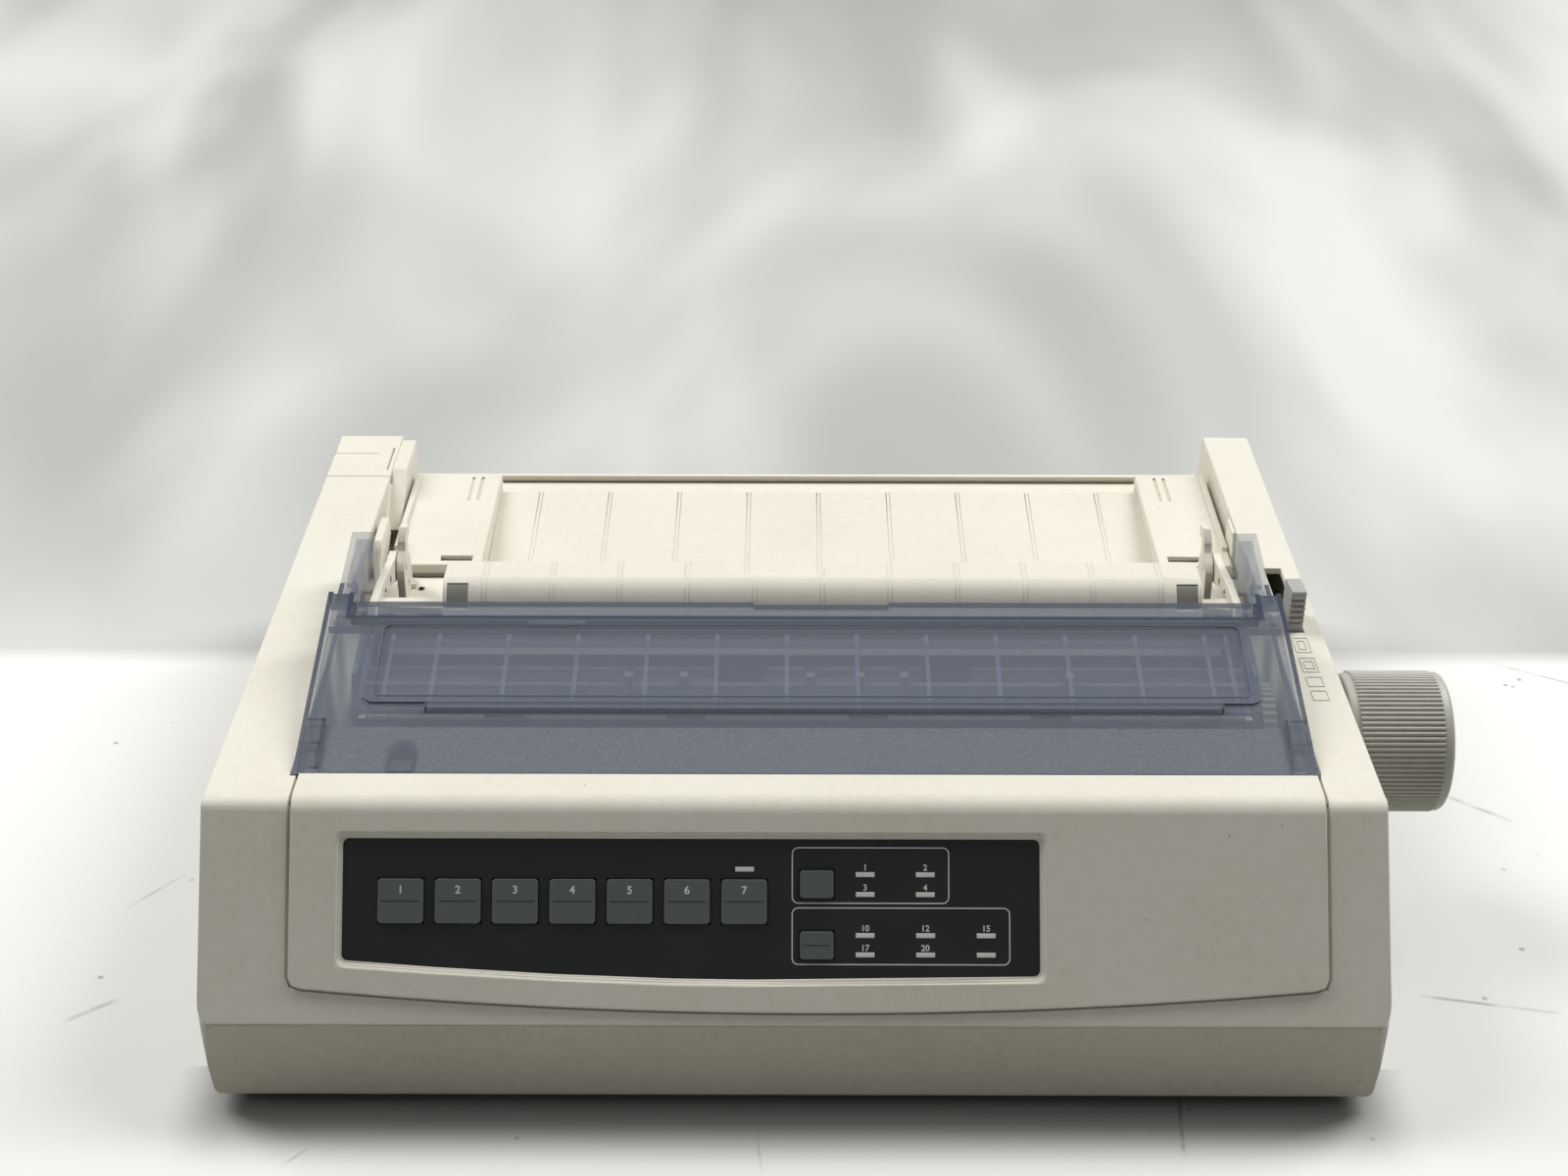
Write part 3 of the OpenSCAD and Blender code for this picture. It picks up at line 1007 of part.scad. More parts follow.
// ---------------- lever
module paper_lever() color("#B9BAB5") centred() {
    difference() {
        side_plate(lev_x - lever_w / 2, lev_x + lever_w / 2,
            rounded([[lev_y - 6, lev_z - 6], [lev_y + 6, lev_z - 6], [lev_y + 6, lev_z + 6],
            [grip_y1, -6], [grip_y1, lever_h - 1.5], [grip_y0, lever_h], [grip_y0, -6],
            [lev_y - 6, lev_z + 8]], [4, 4, 2, 1, 1.5, 1.5, 1, 2]));
        // ribs of the grip
        for (i = [0:4]) block(lev_x - lever_w, lev_x + lever_w, grip_y0 - 1, grip_y0 + 0.7, 3 + 2.4 * i,
            4.1 + 2.4 * i);
        rod_x(lev_x - 2, lev_x + 10, lev_y, lev_z, 1.2);
    }
    rod_x(xr + 0.1, lev_x - lever_w / 2 + 0.1, lev_y, lev_z, lev_pin_r);
}

// ---------------- electrics
module main_board() color("#2E6B42") centred() {
    chip_z = board_z + board_t - 0.1;
    box([board_x0, board_y0, board_z], [board_x1, board_y1, board_z + board_t]);
    // chips: left, front, width and depth of each
    for (c = [[-150, 13, 40, 14], [-96, 13, 40, 14], [-40, 23, 18, 18], [0, 63, 30, 12],
        [-150, 53, 24, 24], [30, 3, 22, 40]])
        box([c[0], board_y0 + c[1], chip_z], [c[0] + c[2], board_y0 + c[1] + c[3], chip_z + 4]);
    // electrolytic cans
    for (x = [board_x1 - 30, board_x1 - 14], y = [board_y1 - 8, board_y1 - 26])
        rod_z(x, y, chip_z, chip_z + 22.5, 6);
}
module transformer() color("#3C3A38") centred() {
    core_x0 = board_x1 + 18;
    core_y0 = board_y0 + 13;
    difference() {
        box([core_x0, core_y0, floor_z], [core_x0 + 70, core_y0 + 52, floor_z + 34]);
        box([core_x0 + 10, core_y0 - 1, floor_z + 10], [core_x0 + 60, core_y0 + 53, floor_z + 24]);
    }
    // winding in the core's window, and the two feet
    box([core_x0 + 11, core_y0 + 0.5, floor_z + 10.5], [core_x0 + 59, core_y0 + 51.5, floor_z + 23.5]);
    for (x = [core_x0 - 10, core_x0 + 70])
        box([x, core_y0 + 18, floor_z], [x + 10, core_y0 + 34, floor_z + 2]);
}
module power_inlet() color("#1B1B1D") centred() {
    inlet_pins();
    inlet_shell();
}
module inlet_shell() difference() {
    union() {
        box([inlet_x0, -yn - 26, inlet_z0], [inlet_x0 + inlet_w, -yn - 0.4, inlet_z0 + inlet_h]);
        box([inlet_x0 - 2, -yn - 26, inlet_z0 - 2], [inlet_x0 + inlet_w + 2, -yn - lean - wall - 0.1,
            inlet_z0 + inlet_h + 2]);
    }
    along_y(-yn - 17, -yn + 1) polygon([[inlet_x0 + 1.6, inlet_z0 + 2],
        [inlet_x0 + inlet_w - 1.6, inlet_z0 + 2], [inlet_x0 + inlet_w - 1.6, inlet_z0 + 12],
        [inlet_x0 + inlet_w - 6, inlet_z0 + 17], [inlet_x0 + 6, inlet_z0 + 17],
        [inlet_x0 + 1.6, inlet_z0 + 12]]);
}
module inlet_pins() for (p = [[-7, 7], [7, 7], [0, 11.5]]) translate([inlet_x0 + inlet_w / 2 + p[0], 0,
    inlet_z0 + p[1]]) box([-1, -yn - 18, -2], [1, -yn - 4, 2]);
module data_port() color("#8C8F90") centred() {
    port_tongue();
    port_shell();
}
module port_shell() difference() {
    union() {
        box([port_x0, -yn - 24, port_z0], [port_x0 + port_w, -yn - 0.2, port_z0 + port_h]);
        box([port_x0 + 4, -yn - 30, port_z0 + 2], [port_x0 + port_w - 4, -yn - 23, port_z0 + port_h - 2]);
        box([port_x0 - 3, -yn - 14, port_z0 - 2], [port_x0 + port_w + 3, -yn - lean - wall - 0.1,
            port_z0 + port_h + 2]);
    }
    along_y(-yn - 9, -yn + 1) polygon([[port_x0 + 5, port_z0 + 2.6],
        [port_x0 + port_w - 5, port_z0 + 2.6], [port_x0 + port_w - 3.4, port_z0 + port_h - 2.6],
        [port_x0 + 3.4, port_z0 + port_h - 2.6]]);
}
module port_tongue()
    translate([port_x0, 0, port_z0 + port_h / 2]) box([8, -yn - 9, -1.7], [port_w - 8, -yn - 1.6, 1.7]);
module switch_body() color("#1B1B1D") centred() difference() {
    box([hw - 24, switch_y - 10, switch_z - 6.5], [hw - 1.2, switch_y + 10, switch_z + 6.5]);
    box([hw - 10, switch_y - 8.2, switch_z - 4.9], [hw, switch_y + 8.2, switch_z + 4.9]);
}
module power_switch() color("#2B2B2E") centred() difference() {
    union() {
        plate(switch_z - 4.6, switch_z + 4.6) polygon([[hw - 8.4, switch_y - 5.2],
            [hw - 8.4, switch_y + 5.2], [hw - 3, switch_y + 7], [hw - 1.9, switch_y + 6.8],
            [hw - 2.4, switch_y], [hw + 0.4, switch_y - 6.6], [hw - 1.2, switch_y - 6.8]]);
        rod_z(hw - 6, switch_y, switch_z - 4.8, switch_z + 4.8, 1.2);
    }
    rod_z(hw - 6, switch_y, switch_z - 6, switch_z + 6, 0.6);
}

lower_case();
base_pan();
rubber_feet();
case_screws();
upper_case();
rail_cap();
control_fascia();
control_panel();
panel_lamps();
key_1();
key_2();
key_3();
key_4();
key_5();
key_6();
key_7();
key_8();
key_9();
panel_board();
access_cover();
cover_foam();
separator_bar();
bar_windows();
rear_deck();
pivot_brackets();
sheet_table();
sheet_guide_left();
sheet_guide_right();
platen();
platen_shaft();
platen_gear();
idler_gear();
motor_pinion();
feed_motor();
knob();
side_frame_left();
side_frame_right();
pull_up_rods();
pull_up_rollers();
tear_bar();
tear_blade();
paper_bail();
bail_rollers();
carriage_shaft();
guide_rail();
carriage();
print_head();
ribbon_cartridge();
drive_belt();
drive_pulley();
tension_pulley();
tension_bracket();
carriage_motor();
paper_lever();
main_board();
transformer();
power_inlet();
data_port();
switch_body();
power_switch();
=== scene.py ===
import bpy, bmesh, math
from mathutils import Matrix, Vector, noise
from mathutils.bvhtree import BVHTree


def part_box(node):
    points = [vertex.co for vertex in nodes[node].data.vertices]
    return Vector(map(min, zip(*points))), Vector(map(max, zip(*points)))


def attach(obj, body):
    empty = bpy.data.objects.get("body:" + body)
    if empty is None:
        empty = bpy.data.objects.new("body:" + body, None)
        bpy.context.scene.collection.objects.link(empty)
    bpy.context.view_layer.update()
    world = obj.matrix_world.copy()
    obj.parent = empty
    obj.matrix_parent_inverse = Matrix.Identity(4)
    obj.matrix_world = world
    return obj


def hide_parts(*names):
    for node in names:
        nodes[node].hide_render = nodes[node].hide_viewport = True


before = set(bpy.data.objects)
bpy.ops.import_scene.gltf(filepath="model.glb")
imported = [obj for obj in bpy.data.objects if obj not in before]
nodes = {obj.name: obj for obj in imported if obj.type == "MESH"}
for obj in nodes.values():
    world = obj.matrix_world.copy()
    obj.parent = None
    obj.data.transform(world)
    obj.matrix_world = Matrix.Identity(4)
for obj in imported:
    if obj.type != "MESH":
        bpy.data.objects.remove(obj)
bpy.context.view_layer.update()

# A desktop impact printer with nine pins and 80 columns, dressed over its CAD frame.
# Sizes are in metres; MM turns a size that is easier to read in millimetres.
MM = 0.001
scene = bpy.context.scene

# ---- Camera: a phone's tele lens, 54 mm on a 36 mm wide sensor, held above the front edge
# and tilted 29 degrees down.
camera_data = bpy.data.cameras.new("camera")
camera_data.lens = 54.0
camera_data.sensor_width = 36.0
camera_data.clip_start = 0.05
camera_data.clip_end = 30.0
camera = bpy.data.objects.new("camera", camera_data)
camera.location = (-0.0201, -0.7831, 0.5471)
camera.rotation_euler = (math.radians(60.7), 0.0, math.radians(0.24))
scene.collection.objects.link(camera)
scene.camera = camera
scene.view_settings.view_transform = "Standard"


# ---- Floor: a white painted work table, scuffed and stained. A grey dust sheet lies over its
# back half, its folds painted as light and shade. The table carries the soft shadow of the
# printer, and a painted shadow along the printer's front.
def linear(code):
    """An sRGB hex colour as linear RGBA."""
    parts = [int(code[i:i + 2], 16) / 255 for i in (1, 3, 5)]
    return [p / 12.92 if p <= 0.04045 else ((p + 0.055) / 1.055) ** 2.4 for p in parts] + [1.0]


def add(tree, kind, inputs=None, **settings):
    """Adds a node. Each input is a value or the output socket that feeds it."""
    node = tree.nodes.new(kind)
    for key, value in settings.items():
        setattr(node, key, value)
    for key, value in (inputs or {}).items():
        if isinstance(value, bpy.types.NodeSocket):
            tree.links.new(value, node.inputs[key])
        else:
            node.inputs[key].default_value = value
    return node


def new_material(name):
    """An empty node material and its tree."""
    material = bpy.data.materials.new(name)
    material.use_nodes = True
    material.node_tree.nodes.clear()
    return material, material.node_tree


def new_piece(name, verts, faces, *materials):
    """A mesh object at the origin with its place in its vertices."""
    mesh = bpy.data.meshes.new(name)
    mesh.from_pydata([tuple(v) for v in verts], [], faces)
    mesh.update()
    for material in materials:
        mesh.materials.append(material)
    piece = bpy.data.objects.new(name, mesh)
    scene.collection.objects.link(piece)
    return piece


table_paint, tree = new_material("white_table_paint")
place = add(tree, "ShaderNodeTexCoord").outputs["Object"]
patches = add(tree, "ShaderNodeTexNoise", {"Vector": place, "Scale": 3.0, "Detail": 5.0}).outputs["Fac"]
paint = add(tree, "ShaderNodeMix", {0: patches, 6: linear("#E9E9E5"), 7: linear("#F7F7F4")},
            data_type="RGBA").outputs[2]
# a greyer dust sheet covers the table behind the printer; its folds, leaning to the right, are painted shade
deep = add(tree, "ShaderNodeSeparateXYZ", {0: place}).outputs[1]
leaning = add(tree, "ShaderNodeMapping", {"Vector": place, "Rotation": (0.0, 0.0, -0.6),
                                          "Scale": (1.6, 0.55, 1.0)})
painted_fold_shade = add(tree, "ShaderNodeTexNoise", {"Vector": leaning.outputs[0], "Scale": 2.6, "Detail": 2.0,
                                         "Distortion": 0.6}).outputs["Fac"]
painted_fold_shade = add(tree, "ShaderNodeMapRange", {"Value": painted_fold_shade, "From Min": 0.3, "From Max": 0.7},
            interpolation_type="SMOOTHSTEP").outputs[0]
sheet = add(tree, "ShaderNodeMix", {0: painted_fold_shade, 6: linear("#A9A9A6"), 7: linear("#D6D6D3")},
            data_type="RGBA").outputs[2]
behind = add(tree, "ShaderNodeMapRange", {"Value": deep, "From Min": 0.12, "From Max": 0.135}).outputs[0]
paint = add(tree, "ShaderNodeMix", {0: behind, 6: paint, 7: sheet}, data_type="RGBA").outputs[2]
# black scuffs and specks on the table's paint, thickest in front
cracks = add(tree, "ShaderNodeTexVoronoi", {"Vector": place, "Scale": 5.0},
             feature="DISTANCE_TO_EDGE").outputs[0]
cracks = add(tree, "ShaderNodeMapRange", {"Value": cracks, "From Min": 0.0, "From Max": 0.004, "To Min": 1.0,
                                          "To Max": 0.0}).outputs[0]
worn = add(tree, "ShaderNodeTexNoise", {"Vector": place, "Scale": 22.0, "Detail": 6.0}).outputs["Fac"]
worn = add(tree, "ShaderNodeMapRange", {"Value": worn, "From Min": 0.52, "From Max": 0.62}).outputs[0]
dots = add(tree, "ShaderNodeTexVoronoi", {"Vector": place, "Scale": 70.0}).outputs["Distance"]
dots = add(tree, "ShaderNodeMapRange", {"Value": dots, "From Min": 0.05, "From Max": 0.1, "To Min": 1.0,
                                        "To Max": 0.0}).outputs[0]
marks = add(tree, "ShaderNodeMath", {0: cracks, 1: dots}, operation="MAXIMUM").outputs[0]
marks = add(tree, "ShaderNodeMath", {0: marks, 1: worn}, operation="MULTIPLY").outputs[0]
bare = add(tree, "ShaderNodeMath", {0: 0.55, 1: behind}, operation="SUBTRACT", use_clamp=True).outputs[0]
marks = add(tree, "ShaderNodeMath", {0: marks, 1: bare}, operation="MULTIPLY").outputs[0]
paint = add(tree, "ShaderNodeMix", {0: marks, 6: paint, 7: linear("#4A4945")}, data_type="RGBA").outputs[2]
# painted shadow: the table is darkened along the printer's front, under its overhang
across = add(tree, "ShaderNodeSeparateXYZ", {0: place}).outputs[0]
across = add(tree, "ShaderNodeMath", {0: across, 1: 0.02}, operation="ADD").outputs[0]
across = add(tree, "ShaderNodeMath", {0: across}, operation="ABSOLUTE").outputs[0]
inside = add(tree, "ShaderNodeMapRange", {"Value": across, "From Min": 0.19, "From Max": 0.215, "To Min": 1.0,
                                          "To Max": 0.0}, interpolation_type="SMOOTHSTEP").outputs[0]
close = add(tree, "ShaderNodeMapRange", {"Value": deep, "From Min": -0.205, "From Max": -0.165, "To Min": 0.0,
                                         "To Max": 0.72}, interpolation_type="SMOOTHSTEP").outputs[0]
under = add(tree, "ShaderNodeMath", {0: deep, 1: -0.15}, operation="LESS_THAN").outputs[0]
painted_front_shadow = add(tree, "ShaderNodeMath", {0: inside, 1: close}, operation="MULTIPLY").outputs[0]
painted_front_shadow = add(tree, "ShaderNodeMath", {0: painted_front_shadow, 1: under}, operation="MULTIPLY").outputs[0]
paint = add(tree, "ShaderNodeMix", {0: painted_front_shadow, 6: paint, 7: linear("#2B2B29")}, data_type="RGBA").outputs[2]
# painted shade: bounced light sees the table as a darker grey, so it lights the printer's lower front less
bounce = add(tree, "ShaderNodeLightPath").outputs["Is Diffuse Ray"]
paint = add(tree, "ShaderNodeMix", {0: bounce, 6: paint, 7: linear("#ABABA6")}, data_type="RGBA").outputs[2]
gloss = add(tree, "ShaderNodeBsdfPrincipled", {"Base Color": paint, "Roughness": 0.7})
add(tree, "ShaderNodeOutputMaterial", {"Surface": gloss.outputs[0]})
floor = new_piece("floor", [(-4, -4, 0), (4, -4, 0), (4, 4, 0), (-4, 4, 0)], [(0, 1, 2, 3)], table_paint)

# ---- Light: two broad lamps high behind the printer, to the left and the right of it, and a
# dim room. The cover's glossy sheet mirrors the gap between them and not the lamps.
def soft_lamp(name, place, size, power):
    """A rectangular lamp that looks at the printer."""
    data = bpy.data.lights.new(name, "AREA")
    data.shape = "RECTANGLE"
    data.size, data.size_y = size
    data.energy = power
    lamp = bpy.data.objects.new(name, data)
    lamp.location = place
    lamp.rotation_euler = (Vector((0.0, 0.0, 0.08)) - lamp.location).to_track_quat("-Z", "Y").to_euler()
    scene.collection.objects.link(lamp)


soft_lamp("lamp_right", (1.50, 0.85, 1.90), (1.0, 1.8), 49.0)
soft_lamp("lamp_left", (-1.50, 0.85, 1.90), (1.0, 1.8), 45.0)

world = bpy.data.worlds.new("room")
scene.world = world
world.use_nodes = True
world.node_tree.nodes.clear()
tree = world.node_tree
path = add(tree, "ShaderNodeLightPath")
seen = add(tree, "ShaderNodeMath", {0: path.outputs["Is Camera Ray"], 1: path.outputs["Is Transmission Ray"]},
           operation="MAXIMUM").outputs[0]
# most of the room's light comes from its ceiling
up = add(tree, "ShaderNodeSeparateXYZ", {0: add(tree, "ShaderNodeTexCoord").outputs["Generated"]}).outputs[2]
level = add(tree, "ShaderNodeMapRange", {"Value": up, "From Min": 0.1, "From Max": 0.9, "To Min": 0.07,
                                         "To Max": 0.34}).outputs[0]
room = add(tree, "ShaderNodeBackground", {"Color": linear("#F4F5F6"), "Strength": level})
wall = add(tree, "ShaderNodeBackground", {"Color": linear("#E6E7E6"), "Strength": 1.0})
both = add(tree, "ShaderNodeMixShader", {0: seen, 1: room.outputs[0], 2: wall.outputs[0]})
add(tree, "ShaderNodeOutputWorld", {"Surface": both.outputs[0]})


# ---- Lower case and feet: a tray moulded in the same styrene blend as the top, painted a little
# greyer as shade, on a steel pan whose dark brown-grey is painted shade, with four black rubber feet.
def moulded(name, colour, shade, grain_mm=0.7, roughness=0.52, bevel_mm=0.6, depth_mm=0.05, specks=0.5,
             edge_highlight=0.3):
    """Injection moulded plastic from a spark-eroded tool.

    It shows a fine grain, faint clouding, a painted highlight on its rounded edges and specks of dust."""
    material, tree = new_material(name)
    place = add(tree, "ShaderNodeTexCoord").outputs["Object"]
    clouds = add(tree, "ShaderNodeTexNoise", {"Vector": place, "Scale": 1 / 0.06,
                                              "Detail": 4.0}).outputs["Fac"]
    mottle = add(tree, "ShaderNodeTexNoise", {"Vector": place, "Scale": 1 / 0.004,
                                              "Detail": 3.0}).outputs["Fac"]
    amount = add(tree, "ShaderNodeMath", {0: clouds, 1: mottle}, operation="MULTIPLY").outputs[0]
    amount = add(tree, "ShaderNodeMapRange", {"Value": amount, "From Min": 0.12, "From Max": 0.42}).outputs[0]
    tone = add(tree, "ShaderNodeMix", {0: amount, 6: linear(colour), 7: linear(shade)},
               data_type="RGBA").outputs[2]
    # dust specks of about half a millimetre, a few to the palm
    cells = add(tree, "ShaderNodeTexVoronoi", {"Vector": place, "Scale": 1 / 0.009})
    near = add(tree, "ShaderNodeMapRange", {"Value": cells.outputs["Distance"], "From Min": 0.03,
                                           "From Max": 0.055, "To Min": 1.0, "To Max": 0.0}).outputs[0]
    rare = add(tree, "ShaderNodeSeparateColor", {0: cells.outputs["Color"]}).outputs[0]
    rare = add(tree, "ShaderNodeMath", {0: rare, 1: 0.86}, operation="GREATER_THAN").outputs[0]
    dust = add(tree, "ShaderNodeMath", {0: near, 1: rare}, operation="MULTIPLY").outputs[0]
    dust = add(tree, "ShaderNodeMath", {0: dust, 1: specks}, operation="MULTIPLY").outputs[0]
    tone = add(tree, "ShaderNodeMix", {0: dust, 6: tone, 7: linear("#57524A")}, data_type="RGBA").outputs[2]
    # painted highlight: the rounded outer edges are painted paler, toward near white
    rounded = add(tree, "ShaderNodeBevel", {"Radius": bevel_mm * MM}, samples=4).outputs[0]
    flat = add(tree, "ShaderNodeNewGeometry").outputs["Normal"]
    facing = add(tree, "ShaderNodeVectorMath", {0: rounded, 1: flat},
                 operation="DOT_PRODUCT").outputs["Value"]
    edge = add(tree, "ShaderNodeMapRange", {"Value": facing, "From Min": 0.999, "From Max": 0.9,
                                            "To Min": 0.0, "To Max": edge_highlight}).outputs[0]
    tone = add(tree, "ShaderNodeMix", {0: edge, 6: tone, 7: linear("#F7F4EA")}, data_type="RGBA").outputs[2]
    grain = add(tree, "ShaderNodeTexNoise", {"Vector": place, "Scale": 1 / (grain_mm * MM),
                                             "Detail": 2.0}).outputs["Fac"]
    relief = add(tree, "ShaderNodeBump", {"Height": grain, "Strength": 0.35, "Distance": depth_mm * MM,
                                          "Normal": rounded}).outputs[0]
    matt = add(tree, "ShaderNodeMapRange", {"Value": mottle, "From Min": 0.3, "From Max": 0.7,
                                            "To Min": roughness - 0.05,
                                            "To Max": roughness + 0.07}).outputs[0]
    body = add(tree, "ShaderNodeBsdfPrincipled", {"Base Color": tone, "Roughness": matt, "IOR": 1.53,
                                                  "Normal": relief})
    add(tree, "ShaderNodeOutputMaterial", {"Surface": body.outputs[0]})
    return material


def dress(node, material):
    """Gives a CAD node its material and leaves its mesh alone."""
    for spot in nodes[node].material_slots:
        spot.material = material


def weld(work):
    """Merges a mesh's doubled points and joins up its flat faces again."""
    bmesh.ops.remove_doubles(work, verts=work.verts, dist=0.002 * MM)
    bmesh.ops.dissolve_limit(work, angle_limit=math.radians(0.6), verts=work.verts, edges=work.edges)


def worked_copy(node, name):
    """A welded copy of a CAD node's mesh."""
    mesh = bpy.data.meshes.new(name)
    work = bmesh.new()
    work.from_mesh(nodes[node].data)
    weld(work)
    work.to_mesh(mesh)
    work.free()
    piece = bpy.data.objects.new(name, mesh)
    scene.collection.objects.link(piece)
    return piece


def stand_in(piece, slot, body, *covered):
    """The piece takes the place of CAD nodes on a body."""
    if covered:
        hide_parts(*covered)
    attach(piece, body)
    return piece


def smooth(piece, degrees=32):
    """Smooth shading, but for edges sharper than an angle."""
    mesh = piece.data
    mesh.polygons.foreach_set("use_smooth", [True] * len(mesh.polygons))
    mesh.set_sharp_from_angle(angle=math.radians(degrees))
    return piece


def with_modifiers_applied(piece):
    """Puts the piece's modifiers into its mesh."""
    bpy.context.view_layer.update()
    finished = bpy.data.meshes.new_from_object(piece.evaluated_get(bpy.context.evaluated_depsgraph_get()))
    piece.modifiers.clear()
    piece.data = finished
    return piece


def shade_with_flat_faces(piece, degrees):
    """Smooth shading that leaves the large faces flat, as on a moulding with rounded edges."""
    smooth(piece, degrees)
    flats = piece.modifiers.new("flats", "WEIGHTED_NORMAL")
    flats.keep_sharp = True
    return with_modifiers_applied(piece)


def rounded_copy(node, name, material, width_mm, min_mm=6.0, sharp=28, reshape=None, cuts=None):
    """A welded copy of a CAD node whose long outer edges are rounded off, as a mould's are.

    reshape moves a vertex in place. cuts gives heights at which faces are cut before that, and a test of
    a face's middle."""
    piece = worked_copy(node, name)
    mesh = piece.data
    mesh.materials.append(material)
    work = bmesh.new()
    work.from_mesh(mesh)
    levels_mm, is_cut = cuts or ((), None)
    for level in levels_mm:
        faces = [face for face in work.faces if is_cut(face.calc_center_median())]
        edges = list(dict.fromkeys(edge for face in faces for edge in face.edges))
        verts = list(dict.fromkeys(vert for edge in edges for vert in edge.verts))
        bmesh.ops.bisect_plane(work, geom=verts + edges + faces, plane_co=(0.0, 0.0, level * MM),
                               plane_no=(0.0, 0.0, 1.0))
    if reshape:
        for vertex in work.verts:
            reshape(vertex.co)
    weight = work.edges.layers.float.new("bevel_weight_edge")
    for edge in work.edges:
        if len(edge.link_faces) != 2 or edge.calc_length() < min_mm * MM:
            continue
        slim = min(2 * f.calc_area() / max(e.calc_length() for e in f.edges) for f in edge.link_faces)
        if edge.calc_face_angle(0) > math.radians(sharp) and slim > min(5 * width_mm, 6) * MM:
            edge[weight] = 1.0
    work.to_mesh(mesh)
    work.free()
    edge_round = piece.modifiers.new("edge_round", "BEVEL")
    edge_round.limit_method = "WEIGHT"
    edge_round.width = width_mm * MM
    edge_round.segments = 3
    edge_round.use_clamp_overlap = False
    return shade_with_flat_faces(with_modifiers_applied(piece), 32)


# painted shade: the tray is given a greyer, darker beige than the top, for the shade on its front
beige_base = moulded("moulded_styrene_shaded_base", "#D0CBBB", "#C6C1B1", roughness=0.58)
tray = rounded_copy("lower_case", "lower_tray", beige_base, 0.7, min_mm=14.0)
stand_in(tray, "beige_base", "case", "lower_case")

# a dull black with a grey bloom
rubber, tree = new_material("moulded_black_rubber")
place = add(tree, "ShaderNodeTexCoord").outputs["Object"]
bloom = add(tree, "ShaderNodeTexNoise", {"Vector": place, "Scale": 1 / 0.006, "Detail": 5.0}).outputs["Fac"]
tone = add(tree, "ShaderNodeMix", {0: bloom, 6: linear("#1C1C1E"), 7: linear("#303033")},
           data_type="RGBA").outputs[2]
grit = add(tree, "ShaderNodeTexNoise", {"Vector": place, "Scale": 1 / 0.0005, "Detail": 2.0}).outputs["Fac"]
relief = add(tree, "ShaderNodeBump", {"Height": grit, "Strength": 0.3, "Distance": 0.05 * MM}).outputs[0]
body = add(tree, "ShaderNodeBsdfPrincipled", {"Base Color": tone, "Roughness": 0.72, "IOR": 1.5,
                                              "Normal": relief})
add(tree, "ShaderNodeOutputMaterial", {"Surface": body.outputs[0]})
dress("rubber_feet", rubber)


def metal(name, colour, shade, roughness, brush=(60.0, 1.0, 1.0), patch_mm=8.0, bump=0.15):
    """A metal with its finish drawn out along the small numbers of brush."""
    material, tree = new_material(name)
    place = add(tree, "ShaderNodeTexCoord").outputs["Object"]
    drawn = add(tree, "ShaderNodeMapping", {"Vector": place, "Scale": brush}).outputs[0]
    lines = add(tree, "ShaderNodeTexNoise", {"Vector": drawn, "Scale": 60.0, "Detail": 4.0}).outputs["Fac"]
    patch = add(tree, "ShaderNodeTexVoronoi", {"Vector": place,
                                               "Scale": 1 / (patch_mm * MM)}).outputs["Color"]
    patch = add(tree, "ShaderNodeSeparateColor", {0: patch}).outputs[0]
    tone = add(tree, "ShaderNodeMix", {0: patch, 6: linear(colour), 7: linear(shade)},
               data_type="RGBA").outputs[2]
    rough = add(tree, "ShaderNodeMapRange", {"Value": lines, "To Min": roughness - 0.1,
                                             "To Max": roughness + 0.12}).outputs[0]
    rounded = add(tree, "ShaderNodeBevel", {"Radius": 0.3 * MM}, samples=4).outputs[0]
    relief = add(tree, "ShaderNodeBump", {"Height": lines, "Strength": bump, "Distance": 0.02 * MM,
                                          "Normal": rounded}).outputs[0]
    body = add(tree, "ShaderNodeBsdfPrincipled", {"Base Color": tone, "Metallic": 1.0, "Roughness": rough,
                                                  "Normal": relief})
    add(tree, "ShaderNodeOutputMaterial", {"Surface": body.outputs[0]})
    return material


# bright spangled sheet, ground rods with fine rings, and a dull tin
zinc = metal("zinc_plated_sheet", "#B9BDBB", "#A6AAA9", 0.38, brush=(1.0, 30.0, 1.0), patch_mm=6.0)
steel = metal("ground_bright_steel", "#C6C8C8", "#B6B9BA", 0.25, brush=(3.0, 90.0, 90.0), patch_mm=30.0)
dress("case_screws", steel)
# painted shade: a matt dark brown-grey for the pan in the shadow under the lip
pan_shade_paint = moulded("pan_dark_painted_shade", "#5E5B51", "#545148", grain_mm=0.4, roughness=0.6)
dress("base_pan", pan_shade_paint)

# ---- Electrics in the tray: a green board with its chips and four electrolytic cans, and a
# transformer whose stack of varnished plates stands beside it.
# green lacquer, through which the paler tracks show
solder_mask, tree = new_material("green_solder_mask")
place = add(tree, "ShaderNodeTexCoord").outputs["Object"]
tracks = add(tree, "ShaderNodeTexBrick", {"Vector": place, "Scale": 90.0, "Mortar Size": 0.012,
                                          "Color1": linear("#1E5A35"), "Color2": linear("#1B5230"),
                                          "Mortar": linear("#3D8455")}).outputs["Color"]
body = add(tree, "ShaderNodeBsdfPrincipled", {"Base Color": tracks, "Roughness": 0.3, "IOR": 1.5})
add(tree, "ShaderNodeOutputMaterial", {"Surface": body.outputs[0]})
dress("panel_board", solder_mask)
# satin black nylon, and the glossy sleeve that is shrunk on a can
black_nylon = moulded("moulded_black_nylon", "#26272A", "#1D1E20", grain_mm=0.5, roughness=0.42, specks=0.15)
can_sleeve = moulded("shrunk_blue_sleeve", "#27324A", "#202A40", grain_mm=2.0, roughness=0.3, specks=0.1)


